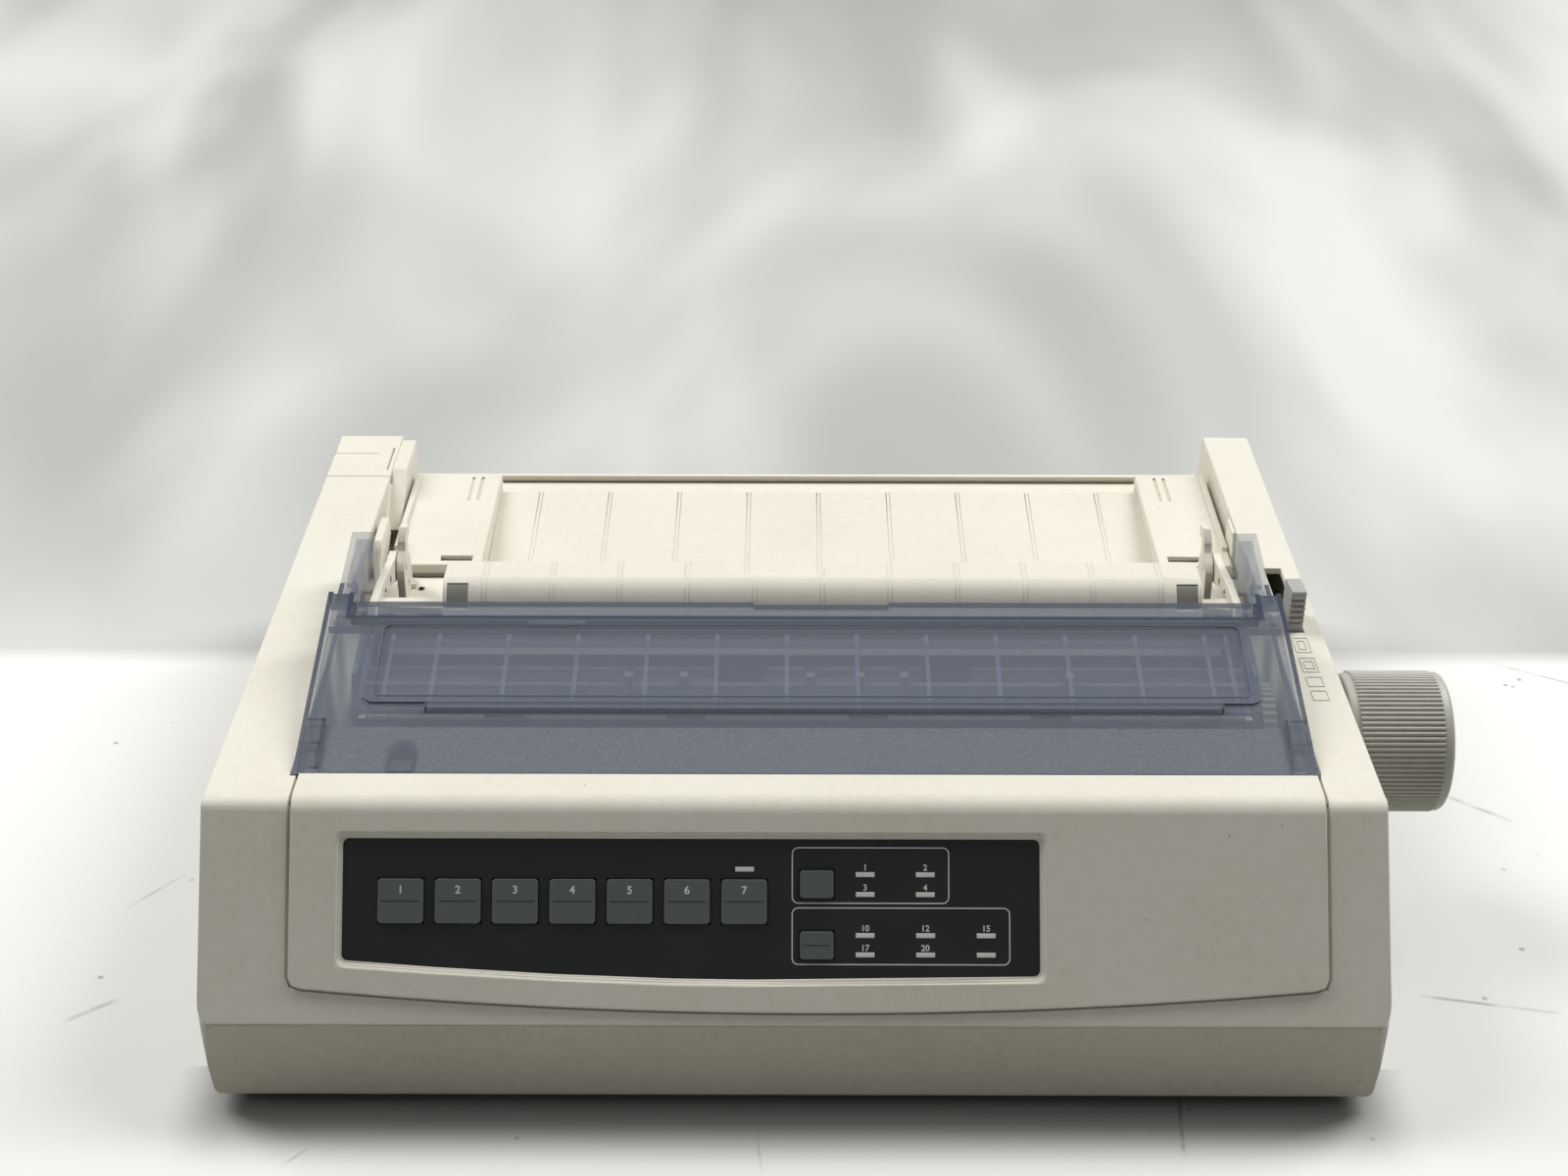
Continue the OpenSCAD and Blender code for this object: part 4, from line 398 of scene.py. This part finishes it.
def painted_apart(node, name, *paints):
    """A welded copy in several materials.

    A face takes the last paint whose test holds for its middle, in millimetres."""
    piece = worked_copy(node, name)
    for material, _ in paints:
        piece.data.materials.append(material)
    for face in piece.data.polygons:
        middle = face.center / MM
        for index, (_, holds) in enumerate(paints):
            if holds(middle):
                face.material_index = index
    return smooth(piece)


# chips stand 4 mm over the board and the cans 22 mm
board = painted_apart("main_board", "populated_board", (solder_mask, lambda p: True),
                      (black_nylon, lambda p: p.z > 15.4), (can_sleeve, lambda p: p.z > 19.5))
# a can's wall starts as low as a chip's, but it ends over 20 mm
for face in board.data.polygons:
    wall_top = max(board.data.vertices[i].co.z for i in face.vertices)
    if face.material_index == 1 and wall_top > 20 * MM:
        face.material_index = 2
stand_in(board, "board_green", "case", "main_board")
dress("power_inlet", black_nylon)
dress("switch_body", black_nylon)
dress("power_switch", black_nylon)
tin = metal("tinned_shell", "#A9ACAD", "#989C9D", 0.35)
dress("data_port", tin)
# a dark phosphated steel, barely shiny
motor_paint = metal("phosphated_motor_can", "#6E7071", "#626465", 0.45)
for node in ("feed_motor", "carriage_motor", "print_head"):
    dress(node, motor_paint)
# the winding fills the window of the plates, wrapped in yellow tape
winding_tape = moulded("yellow_polyester_tape", "#B58A2E", "#A37B26", grain_mm=1.0, roughness=0.35,
                       specks=0.1)
plates_lo, plates_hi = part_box("transformer")
core_x = (plates_lo[0] + plates_hi[0]) / 2 / MM
coil = painted_apart("transformer", "wound_transformer", (motor_paint, lambda p: True),
                     (winding_tape, lambda p: 18.1 < p.z < 31.3 and abs(p.x - core_x) < 24.1))
stand_in(coil, "motor_steel", "case", "transformer")

# ---- Frame and paper drive: two folded zinc side plates carry a ground shaft with the rubber
# platen, acetal gears, the bail and its rollers, the pull-up rods and the clear tear bar.
for node in ("side_frame_left", "side_frame_right", "guide_rail", "tension_bracket"):
    dress(node, zinc)
for node in ("platen_shaft", "carriage_shaft", "paper_bail", "motor_pinion"):
    dress(node, steel)
for node in ("platen", "bail_rollers", "pull_up_rollers", "drive_belt"):
    dress(node, rubber)
# waxy off-white acetal
acetal = moulded("natural_acetal", "#DEDACB", "#D5D0BF", grain_mm=1.5, roughness=0.35, specks=0.1)
for node in ("platen_gear", "idler_gear", "drive_pulley", "tension_pulley", "pull_up_rods"):
    dress(node, acetal)
for node in ("carriage", "ribbon_cartridge", "tear_blade"):
    dress(node, black_nylon)

# ---- Upper case: one beige styrene moulding with two tall rails, a sloping front and an open
# middle. Its outer long edges are rounded in the tool.
beige_case = moulded("moulded_styrene_beige", "#E5E1D3", "#DDD8C8")


def broader(corner_y, corner_z, times, reach_mm=2.3):
    """A reshape that widens a rounding along X, by moving its points away from the sharp corner."""
    def reshape(point):
        away = Vector((0.0, point.y - corner_y * MM, point.z - corner_z * MM))
        if away.length < reach_mm * MM:
            point += away * (times - 1)
    return reshape


broad_front = broader(-131.0, 99.0, 1.6)
BACK_WALL_TOP = 82.5 * MM
BACK_WALL_DROP = 5.3 * MM
BACK_WALL_LEAN = 0.117


def shell_shape(point):
    """The front rounding gets broader, and the back wall's top edge comes down along its slope.

    From the front, the table nearly hides that edge."""
    broad_front(point)
    if abs(point.z - BACK_WALL_TOP) < 0.05 * MM and point.y > 155 * MM:
        point.y += BACK_WALL_LEAN * BACK_WALL_DROP
        point.z -= BACK_WALL_DROP


shell = rounded_copy("upper_case", "upper_shell", beige_case, 0.7, min_mm=14.0, reshape=shell_shape)
stand_in(shell, "beige_case", "case", "upper_case")
plug = rounded_copy("rail_cap", "connector_plug", beige_case, 0.5, min_mm=8.0)
stand_in(plug, "beige_case", "case", "rail_cap")


def outline_ring(x0, y0, x1, y1, corner, line, steps=5):
    """The two outlines of a thin rounded frame, outer first, each a list of plane points."""
    rings = []
    for inset in (0.0, line):
        r = max(corner - inset, 0.05)
        ring = []
        for cx, cy, start in ((x1 - inset - r, y1 - inset - r, 0), (x0 + inset + r, y1 - inset - r, 90),
                              (x0 + inset + r, y0 + inset + r, 180), (x1 - inset - r, y0 + inset + r, 270)):
            for k in range(steps + 1):
                angle = math.radians(start + 90 * k / steps)
                ring.append((cx + r * math.cos(angle), cy + r * math.sin(angle)))
        rings.append(ring)
    return rings


def face_outwards(piece):
    """Turns a closed piece's faces outwards."""
    work = bmesh.new()
    work.from_mesh(piece.data)
    bmesh.ops.recalc_face_normals(work, faces=work.faces)
    work.to_mesh(piece.data)
    work.free()
    return piece


def raised_frames(name, frames, place, low, high, material):
    """Thin raised frames on a surface; place turns plane millimetres and a height into a point."""
    verts, faces = [], []
    for frame_size in frames:
        outer, inner = outline_ring(*frame_size)
        count, base = len(outer), len(verts)
        for ring, height in ((outer, low), (outer, high), (inner, high), (inner, low)):
            verts += [place(x, y, height) for x, y in ring]
        for k in range(count):
            n = (k + 1) % count
            for band in range(4):
                a, b = base + band * count, base + (band + 1) % 4 * count
                faces.append((a + k, a + n, b + n, b + k))
    return face_outwards(new_piece(name, verts, faces, material))


# The four plain signs beside the lever stand 0.25 mm proud of the rail: sheets and a roll path.
def on_rail(x, y, up):
    """A point of the rail tops in millimetres: across, behind the front edge, and up."""
    return Vector((x - 19.5, y - 131.0, 99.0 + up)) * MM


signs = raised_frames("rail_signs", [
    (186.4, 64.5, 192.6, 71.5, 0.6, 0.55), (186.4, 74.0, 192.6, 81.0, 0.6, 0.55),
    (186.4, 84.0, 192.6, 94.5, 0.6, 0.55), (187.6, 86.4, 191.4, 92.0, 0.5, 0.45),
    (186.4, 98.0, 192.6, 109.0, 0.6, 0.55), (188.0, 100.2, 191.0, 106.8, 0.5, 0.45),
], on_rail, -0.1, 0.25, beige_case)
stand_in(signs, "beige_case", "case")

# ---- Fascia: a separate beige moulding snapped over the front, with a sloping rim round
# the control panel.
front = rounded_copy("control_fascia", "front_fascia", beige_case, 0.5, min_mm=14.0,
                     reshape=broader(-131.64, 100.2, 1.7, reach_mm=3.0))
stand_in(front, "beige_case", "case", "control_fascia")

FACE_TILT = math.atan2(0.062, 0.0415)
FACE_EDGE = Vector((-0.0195, -0.131, 0.099))


def on_face(x, v, out):
    """A point of the sloping front in millimetres: across, up the slope and outward."""
    return FACE_EDGE + MM * Vector((x, v * math.cos(FACE_TILT) - out * math.sin(FACE_TILT),
                                    v * math.sin(FACE_TILT) + out * math.cos(FACE_TILT)))


def recess_outline(grow, steps=6):
    """The panel recess in the face's plane, counter-clockwise, grown outward by some millimetres."""
    left, right, top = -151.0 - grow, 82.2 + grow, -12.4 + grow
    corners = [((left, top), 2.0), ((left, -53 - grow), 2.0), ((-120, -55.2 - grow), 0),
               ((-80, -57.4 - grow), 0), ((-40, -58.8 - grow), 0), ((-15, -59.1 - grow), 0),
               ((20, -59.6 - grow), 0), ((right, -57.8 - grow), 2.0), ((right, top), 2.0)]
    points = []
    for i, (corner, radius) in enumerate(corners):
        here = Vector(corner)
        if not radius:
            points.append(here)
            continue
        before = (Vector(corners[i - 1][0]) - here).normalized()
        after = (Vector(corners[(i + 1) % len(corners)][0]) - here).normalized()
        reach = radius * (1 + 0.5 * grow)
        for k in range(steps + 1):
            t = k / steps
            points.append(here + before * reach * (1 - t) ** 2 + after * reach * t ** 2)
    return points


def ring_strip(name, rings, material):
    """A strip of faces that joins outlines with equal numbers of points."""
    count = len(rings[0])
    verts = [v for ring in rings for v in ring]
    faces = [(a * count + k, a * count + (k + 1) % count,
              (a + 1) * count + (k + 1) % count, (a + 1) * count + k)
             for a in range(len(rings) - 1) for k in range(count)]
    return new_piece(name, verts, faces, material)


# The rim slopes 3 mm in to the black film and rolls over into the fascia at its top. A level
# is how far it has grown outward, and its height.
rim_levels = ((0.0, -0.95), (0.0, -0.74), (0.12, -0.6), (1.85, 1.0), (2.1, 1.15), (2.45, 1.22), (2.9, 1.215))
rim_rings = [[on_face(p.x, p.y, out) for p in recess_outline(grow)] for grow, out in rim_levels]
rim = ring_strip("panel_rim", rim_rings, beige_case)
shade_with_flat_faces(rim, 35)
stand_in(rim, "beige_case", "case")

# ---- Control panel: a black polyester film stuck in the recess, screen printed with pale
# outlines and numbers. Nine keys and eleven lamp bars come up through it.
# the film is a soft black with greasy smears
film, tree = new_material("printed_polyester_film")
place = add(tree, "ShaderNodeTexCoord").outputs["Object"]
smears = add(tree, "ShaderNodeTexNoise", {"Vector": place, "Scale": 1 / 0.02, "Detail": 6.0}).outputs["Fac"]
tone = add(tree, "ShaderNodeMix", {0: smears, 6: linear("#1C1F1F"), 7: linear("#262929")},
           data_type="RGBA").outputs[2]
rough = add(tree, "ShaderNodeMapRange", {"Value": smears, "To Min": 0.35, "To Max": 0.6}).outputs[0]
body = add(tree, "ShaderNodeBsdfPrincipled", {"Base Color": tone, "Roughness": rough, "IOR": 1.5})
add(tree, "ShaderNodeOutputMaterial", {"Surface": body.outputs[0]})
dress("control_panel", film)
# frosted lenses, white with no light behind them, and keys in a satin grey-green film
lens_grey = moulded("frosted_lamp_lens", "#EFEFEA", "#E8E8E2", grain_mm=0.3, roughness=0.3, specks=0.0)
dress("panel_lamps", lens_grey)
key_grey = moulded("satin_key_film", "#646A69", "#5D6362", grain_mm=0.4, roughness=0.4, specks=0.2, edge_highlight=0.06)
for i in range(1, 10):
    dress("key_%d" % i, key_grey)


def print_ink(name, colour):
    """Screen printed ink: matt, a little broken up."""
    material, tree = new_material(name)
    place = add(tree, "ShaderNodeTexCoord").outputs["Object"]
    thin = add(tree, "ShaderNodeTexNoise", {"Vector": place, "Scale": 1 / 0.0006,
                                            "Detail": 3.0}).outputs["Fac"]
    tone = add(tree, "ShaderNodeHueSaturation", {"Color": linear(colour), "Value": thin})
    lift = add(tree, "ShaderNodeMapRange", {"Value": thin, "To Min": 0.8, "To Max": 1.15}).outputs[0]
    tree.links.new(lift, tone.inputs["Value"])
    body = add(tree, "ShaderNodeBsdfPrincipled", {"Base Color": tone.outputs[0], "Roughness": 0.6,
                                                  "IOR": 1.5})
    add(tree, "ShaderNodeOutputMaterial", {"Surface": body.outputs[0]})
    return material


pale_ink = print_ink("pale_screen_ink", "#E6E6DE")
dark_ink = print_ink("dark_screen_ink", "#1D2020")


def numeral(text, x, v, out, height):
    """A plain printed number on the face, centred at x and v, as points and faces."""
    curve = bpy.data.curves.new("numeral", "FONT")
    curve.body = text
    curve.size = height * 1.43
    curve.offset = 0.03 * height
    curve.align_x = "CENTER"
    curve.align_y = "CENTER"
    glyph = bpy.data.objects.new("numeral", curve)
    scene.collection.objects.link(glyph)
    bpy.context.view_layer.update()
    mesh = bpy.data.meshes.new_from_object(glyph.evaluated_get(bpy.context.evaluated_depsgraph_get()))
    verts = [on_face(x + p.co.x, v + p.co.y, out) for p in mesh.vertices]
    faces = [tuple(f.vertices) for f in mesh.polygons]
    bpy.data.objects.remove(glyph)
    bpy.data.curves.remove(curve)
    return verts, faces


def printed(name, marks, material):
    """One flat printed piece from several marks."""
    verts, faces = [], []
    for mark_verts, mark_faces in marks:
        base = len(verts)
        verts += mark_verts
        faces += [tuple(base + i for i in face) for face in mark_faces]
    return new_piece(name, verts, faces, material)


FILM_TOP = -0.78
outlines = raised_frames("panel_outlines", [(-0.7, -33.9, 52.0, -15.1, 2.2, 0.38),
                                            (-0.7, -54.2, 72.3, -35.1, 2.2, 0.38)],
                         on_face, FILM_TOP - 0.03, FILM_TOP + 0.02, pale_ink)
stand_in(outlines, "black_overlay", "case")
figures = [("1", 23.85, -22.1), ("2", 43.95, -22.1), ("3", 23.85, -28.8), ("4", 43.95, -28.8),
           ("10", 23.85, -42.3), ("12", 43.95, -42.3), ("15", 64.25, -42.3),
           ("17", 23.85, -48.8), ("20", 43.95, -48.8)]
numerals = [numeral(text, x, v + 0.2, FILM_TOP, 2.0) for text, x, v in figures]
numbers = printed("panel_numbers", numerals, pale_ink)
stand_in(numbers, "black_overlay", "case")

# The seven large keys carry a thin dark line across the middle and a plain number above it. Of the two small
# keys, only the lower one has a line, and neither has a number.
KEY_TOP = 0.13
KEYS = [(-131.45 + 19.15 * i, -33.3, 13.0) for i in range(7)] + [(7.7, -27.4, 0.0), (7.7, -47.7, 9.0)]
for i, (x, v, line) in enumerate(KEYS, 1):
    if line:
        half = line / 2
        corners = ((x - half, v - 0.15), (x + half, v - 0.15), (x + half, v + 0.15), (x - half, v + 0.15))
        rule = ([on_face(a, b, KEY_TOP) for a, b in corners], [(0, 1, 2, 3)])
        stand_in(printed("key_rule_%d" % i, [rule], dark_ink), "key_grey", "button_%d" % i)
    if i < 8:
        mark = printed("key_number_%d" % i, [numeral(str(i), x, v + 3.7, KEY_TOP, 2.6)], pale_ink)
        stand_in(mark, "key_grey", "button_%d" % i)

# ---- Rear deck, hinge brackets, table and sheet guides: beige mouldings. The deck's chute
# behind the platen is painted dark grey, as shade under the separator bar.
deck = rounded_copy("rear_deck", "rear_deck_moulding", beige_case, 0.4)
# painted shade: a mid grey satin finish
chute_painted_shade = moulded("dark_grey_chute_shade", "#5F615F", "#565857", grain_mm=0.5, roughness=0.5, specks=0.2)
deck.data.materials.append(chute_painted_shade)
for face in deck.data.polygons:
    middle = face.center / MM
    upright = face.normal.y < -0.9
    if middle.y < 26.5 or upright and middle.y < 55 and middle.z < 83.5:
        face.material_index = 1
stand_in(deck, "beige_case", "case", "rear_deck")


def fine_table(point):
    """The floors of the table's grooves lie 0.2 mm below its sloping top."""
    top = 77.7 * MM + (point.y - 59 * MM) * math.tan(math.radians(5.3))
    if abs(top - 0.7 * MM - point.z) < 0.03 * MM:
        point.z = top - 0.2 * MM


for node, body, width, reshape in (("pivot_brackets", "case", 0.3, None),
                                   ("sheet_table", "table", 0.3, fine_table),
                                   ("sheet_guide_left", "guide_left", 0.4, None),
                                   ("sheet_guide_right", "guide_right", 0.4, None)):
    moulding = rounded_copy(node, node + "_moulding", beige_case, width, reshape=reshape)
    stand_in(moulding, "beige_case", body, node)

# ---- Separator bar: a beige moulding that swings up on two arms, with fine double lines. Its
# front leans back and rolls over into its top. A grey moulding closes each end of it.

# The front's profile, from its bottom to the top: height and depth. The wall is upright at first.
BAR_FRONT = -14.8
BAR_PROFILE = [(103.0, -21.0), (109.0, -18.0), (112.5, -15.6), (114.8, -13.4), (116.2, -11.2), (117.0, -8.8)]
BAR_CUTS = [z for z, _ in BAR_PROFILE[1:-1]], lambda middle: middle.y < -11.9 * MM


def roll_over(point):
    """Moves the bar's flat front wall on to its profile."""
    y, z = point.y / MM, point.z / MM
    arm_link = abs(y + 12.5) < 0.05
    if not -15 < y < -11.9 or z < 102.9 or arm_link:
        return
    for (z0, y0), (z1, y1) in zip(BAR_PROFILE, BAR_PROFILE[1:]):
        if z <= z1 + 0.01:
            break
    point.y = (y - BAR_FRONT + y0 + (y1 - y0) * (z - z0) / (z1 - z0)) * MM


def fine_grooves(point):
    """The grooves' floors lie 0.2 mm deep on the top and on the front."""
    if abs(point.z - 116.5 * MM) < 0.02 * MM:
        point.z = 116.8 * MM
    if abs(point.y + 14.3 * MM) < 0.02 * MM:
        point.y = -14.6 * MM
    roll_over(point)


bar = rounded_copy("separator_bar", "separator_bar_moulding", beige_case, 0.4, reshape=fine_grooves,
                   cuts=BAR_CUTS)
stand_in(bar, "beige_case", "separator", "separator_bar")
# a warm mid grey
recess_grey = moulded("grey_recess_moulding", "#8C8B81", "#83827A", specks=0.2)
ends = rounded_copy("bar_windows", "bar_end_mouldings", recess_grey, 0.2, reshape=roll_over, cuts=BAR_CUTS)
stand_in(ends, "dark_plastic", "separator", "bar_windows")


# ---- Access cover: clear smoke tinted sheet, moulded in one piece. Where the eye meets the
# end of a wall it looks through many millimetres of plastic, so those faces are dark blue.
def tinted(name, colour, alpha, roughness):
    """Clear moulding with a tint, seen through."""
    material, tree = new_material(name)
    place = add(tree, "ShaderNodeTexCoord").outputs["Object"]
    haze = add(tree, "ShaderNodeTexNoise", {"Vector": place, "Scale": 1 / 0.03, "Detail": 5.0}).outputs["Fac"]
    rough = add(tree, "ShaderNodeMapRange", {"Value": haze, "To Min": roughness * 0.5,
                                             "To Max": roughness * 1.5}).outputs[0]
    body = add(tree, "ShaderNodeBsdfPrincipled", {"Base Color": linear(colour), "Roughness": rough,
                                                  "IOR": 1.58, "Alpha": alpha})
    add(tree, "ShaderNodeOutputMaterial", {"Surface": body.outputs[0]})
    return material


# the sheet is a clear smoke blue, an edge nearly opaque, and a bead in between
smoke = tinted("smoke_styrene_sheet", "#8B93A0", 0.29, 0.10)
smoke_edge = tinted("smoke_styrene_edge", "#3A4457", 0.85, 0.15)
smoke_bead = tinted("smoke_styrene_bead", "#7A8392", 0.5, 0.12)


def clear_moulding(node, name, sheet, edge, thick_mm):
    """A copy of a clear CAD node whose faces with thick plastic behind them are dark."""
    mesh = nodes[node].data.copy()
    mesh.materials.clear()
    mesh.materials.append(sheet)
    mesh.materials.append(edge)
    work = bmesh.new()
    work.from_mesh(mesh)
    weld(work)
    tree = BVHTree.FromBMesh(work)
    for face in work.faces:
        start = face.calc_center_median() - face.normal * 0.02 * MM
        found = tree.ray_cast(start, -face.normal)
        slim = 2 * face.calc_area() / max(e.calc_length() for e in face.edges)
        deep = found[3] is not None and found[3] > thick_mm * MM or slim < 2.4 * MM
        face.material_index = 1 if deep else 0
        face.smooth = False
    work.to_mesh(mesh)
    work.free()
    piece = bpy.data.objects.new(name, mesh)
    scene.collection.objects.link(piece)
    return piece


cover = clear_moulding("access_cover", "smoke_cover", smoke, smoke_edge, 5.2)
stand_in(cover, "smoke_clear", "cover", "access_cover")


def on_sheet(x, y, up):
    """A point of the cover's sloping sheet in millimetres: across, behind the front edge, and outward."""
    slope = math.radians(15)
    return on_rail(x, y - up * math.sin(slope), 0.5 + (y - 15.3) * math.tan(slope) + up * math.cos(slope))


def flat_strip(x0, x1, y0, y1):
    """A strip on the sheet, as points and faces."""
    return [on_sheet(x, y, 0.04) for x, y in ((x0, y0), (x1, y0), (x1, y1), (x0, y1))], [(0, 1, 2, 3)]


# Rims, pocket walls and channel walls stand under the sheet and show through it as dark lines.
strips = [(-171.2, -169.5, 15.3, 100.9), (177.1, 178.8, 15.3, 100.9), (-171.2, 178.8, 15.3, 15.9),
          (-163.3, -161.6, 88.0, 100.9), (169.1, 170.9, 88.0, 100.9), (-161.6, 169.1, 88.1, 89.3)]
for x in (-171.2, 170.7):
    strips += [(x + 1.7, x + 8.1, y, y + 1.2) for y in (17.6, 28.6, 39.0)]
strips += [(-164.3, -163.1, 17.4, 40.2), (170.7, 171.9, 17.4, 40.2)]
lines = printed("cover_wall_lines", [flat_strip(*strip) for strip in strips], smoke_edge)
stand_in(lines, "smoke_clear", "cover")
beads = raised_frames("cover_window_beads", [(-151.7, 47.0, 164.2, 86.2, 4.0, 0.5),
                                             (-148.7, 50.0, 161.2, 84.2, 3.0, 0.5)],
                      on_sheet, 0.85, 1.0, smoke_bead)
stand_in(beads, "smoke_clear", "cover")
slot = raised_frames("cover_mark_slot", [(-96.5, 84.3, -75.5, 85.8, 0.4, 0.7)], on_sheet, 0.9, 1.02,
                     smoke_bead)
stand_in(slot, "smoke_clear", "cover")

# a colourless sheet with a touch of blue, milkier where its ribs stand
clear = tinted("clear_styrene_sheet", "#7C85A8", 0.16, 0.08)
clear_edge = tinted("clear_styrene_rib", "#9AA1C4", 0.6, 0.1)
tear = clear_moulding("tear_bar", "clear_tear_bar", clear, clear_edge, 2.2)
stand_in(tear, "smoke_clear", "case", "tear_bar")

# ---- Foam strip: open cell foam, cut to shape and stuck under the cover's front to quieten the
# printer. Its pores are drawn 0.7 mm wide, so that they show.
foam_stuff, tree = new_material("open_cell_foam")
place = add(tree, "ShaderNodeTexCoord").outputs["Object"]
cells = add(tree, "ShaderNodeTexVoronoi", {"Vector": place, "Scale": 1 / 0.0007}).outputs["Distance"]
# painted shade: the foam is painted darker where its relief sinks, in the hollows between its pores
tone = add(tree, "ShaderNodeMix", {0: cells, 6: linear("#888C8C"), 7: linear("#636767")},
           data_type="RGBA").outputs[2]
relief = add(tree, "ShaderNodeBump", {"Height": cells, "Strength": 0.8, "Distance": 0.4 * MM},
             invert=True).outputs[0]
body = add(tree, "ShaderNodeBsdfPrincipled", {"Base Color": tone, "Roughness": 0.95, "Normal": relief})
add(tree, "ShaderNodeOutputMaterial", {"Surface": body.outputs[0]})
foam = worked_copy("cover_foam", "foam_strip")
blocks = foam.modifiers.new("blocks", "REMESH")
blocks.mode = "VOXEL"
blocks.voxel_size = 1.2 * MM
cut = with_modifiers_applied(foam).data
for vertex in cut.vertices:
    pores = noise.noise(vertex.co * 900) + 0.4 * noise.noise(vertex.co * 260)
    vertex.co += vertex.normal * pores * 0.2 * MM
cut.materials.clear()
cut.materials.append(foam_stuff)
smooth(foam, 180)
stand_in(foam, "foam_grey", "cover", "cover_foam")

# ---- Knob and lever: satin grey mouldings. The fluted knob is pressed on the platen's shaft,
# and the lever comes up through a slot in the right rail.
knob_grey = moulded("moulded_grey_knob", "#BCBAB0", "#B2B0A6", roughness=0.45)


def turned(name, profile, y, z, x_base, material, count=96):
    """A closed profile of (x, radius) millimetres turned about an X axis."""
    verts, faces = [], []
    for k in range(count):
        angle = 2 * math.pi * k / count
        verts += [Vector((x_base + x, y + r * math.cos(angle), z + r * math.sin(angle))) * MM
                  for x, r in profile]
    n = len(profile)
    for k in range(count):
        for j in range(n):
            faces.append((k * n + j, k * n + (j + 1) % n,
                          (k + 1) % count * n + (j + 1) % n, (k + 1) % count * n + j))
    return smooth(face_outwards(new_piece(name, verts, faces, material)), 40)


KNOB_X, KNOB_Y, KNOB_Z = 179.5, -51.0, 72.0
core = turned("knob_core", [(0.6, 4.0), (0.6, 9.0), (20.0, 9.2), (20.0, 22.0), (2.0, 22.3), (2.0, 24.4),
                            (2.5, 24.9), (5.2, 25.1), (34.9, 25.1), (35.3, 25.6), (37.4, 25.6),
                            (38.4, 25.0), (39.0, 24.0), (39.0, 22.6), (38.5, 22.0), (38.3, 6.0),
                            (37.9, 5.0), (31.0, 5.0), (31.0, 4.0)],
              KNOB_Y, KNOB_Z, KNOB_X, knob_grey)
stand_in(core, "knob_grey", "platen_set", "knob")


def flute_tree():
    """Ridges round a knob: rods in a ring about the X axis."""
    tree = bpy.data.node_groups.new("ring_of_flutes", "GeometryNodeTree")
    tree.interface.new_socket("Geometry", in_out="INPUT", socket_type="NodeSocketGeometry")
    for label, kind, value in (("Count", "NodeSocketInt", 84), ("Ring Radius", "NodeSocketFloat", 25.2 * MM),
                               ("Ridge Radius", "NodeSocketFloat", 0.75 * MM),
                               ("Length", "NodeSocketFloat", 29.8 * MM)):
        tree.interface.new_socket(label, in_out="INPUT", socket_type=kind).default_value = value
    tree.interface.new_socket("Centre", in_out="INPUT", socket_type="NodeSocketVector")
    tree.interface.new_socket("Finish", in_out="INPUT", socket_type="NodeSocketMaterial")
    tree.interface.new_socket("Geometry", in_out="OUTPUT", socket_type="NodeSocketGeometry")
    given = tree.nodes.new("NodeGroupInput").outputs
    reach = add(tree, "ShaderNodeCombineXYZ", {"Z": given["Length"]}).outputs[0]
    rod = add(tree, "GeometryNodeCurvePrimitiveLine", {"End": reach}).outputs[0]
    section = add(tree, "GeometryNodeCurvePrimitiveCircle", {"Resolution": 8,
                                                             "Radius": given["Ridge Radius"]}).outputs[0]
    ridge = add(tree, "GeometryNodeCurveToMesh", {"Curve": rod, "Profile Curve": section,
                                                  "Fill Caps": True}).outputs[0]
    ring = add(tree, "GeometryNodeMeshCircle", {"Vertices": given["Count"],
                                                "Radius": given["Ring Radius"]}).outputs[0]
    each = add(tree, "GeometryNodeInstanceOnPoints", {"Points": ring, "Instance": ridge}).outputs[0]
    real = add(tree, "GeometryNodeRealizeInstances", {"Geometry": each}).outputs[0]
    turned_over = add(tree, "GeometryNodeTransform", {"Geometry": real, "Rotation": (0.0, math.pi / 2, 0.0),
                                                      "Translation": given["Centre"]}).outputs[0]
    painted = add(tree, "GeometryNodeSetMaterial", {"Geometry": turned_over,
                                                    "Material": given["Finish"]}).outputs[0]
    out = tree.nodes.new("NodeGroupOutput")
    tree.links.new(painted, out.inputs[0])
    return tree


def grown(name, tree, **sizes):
    """The mesh that a node tree makes, as a plain piece."""
    piece = new_piece(name, [], [])
    grower = piece.modifiers.new("grower", "NODES")
    grower.node_group = tree
    keys = {item.name: item.identifier for item in tree.interface.items_tree if item.in_out == "INPUT"}
    for label, value in sizes.items():
        grower[keys[label.replace("_", " ")]] = value
    return smooth(with_modifiers_applied(piece), 50)


flutes = grown("knob_flutes", flute_tree(), Count=84, Ring_Radius=25.25 * MM, Ridge_Radius=0.75 * MM,
               Length=29.9 * MM, Centre=(0.1848, KNOB_Y * MM, KNOB_Z * MM), Finish=knob_grey)
stand_in(flutes, "knob_grey", "platen_set")
lever_grey = moulded("moulded_grey_lever", "#B4B5B1", "#A9AAA5", roughness=0.4)
lever = rounded_copy("paper_lever", "release_lever", lever_grey, 0.35, min_mm=4.0)
stand_in(lever, "knob_grey", "lever", "paper_lever")
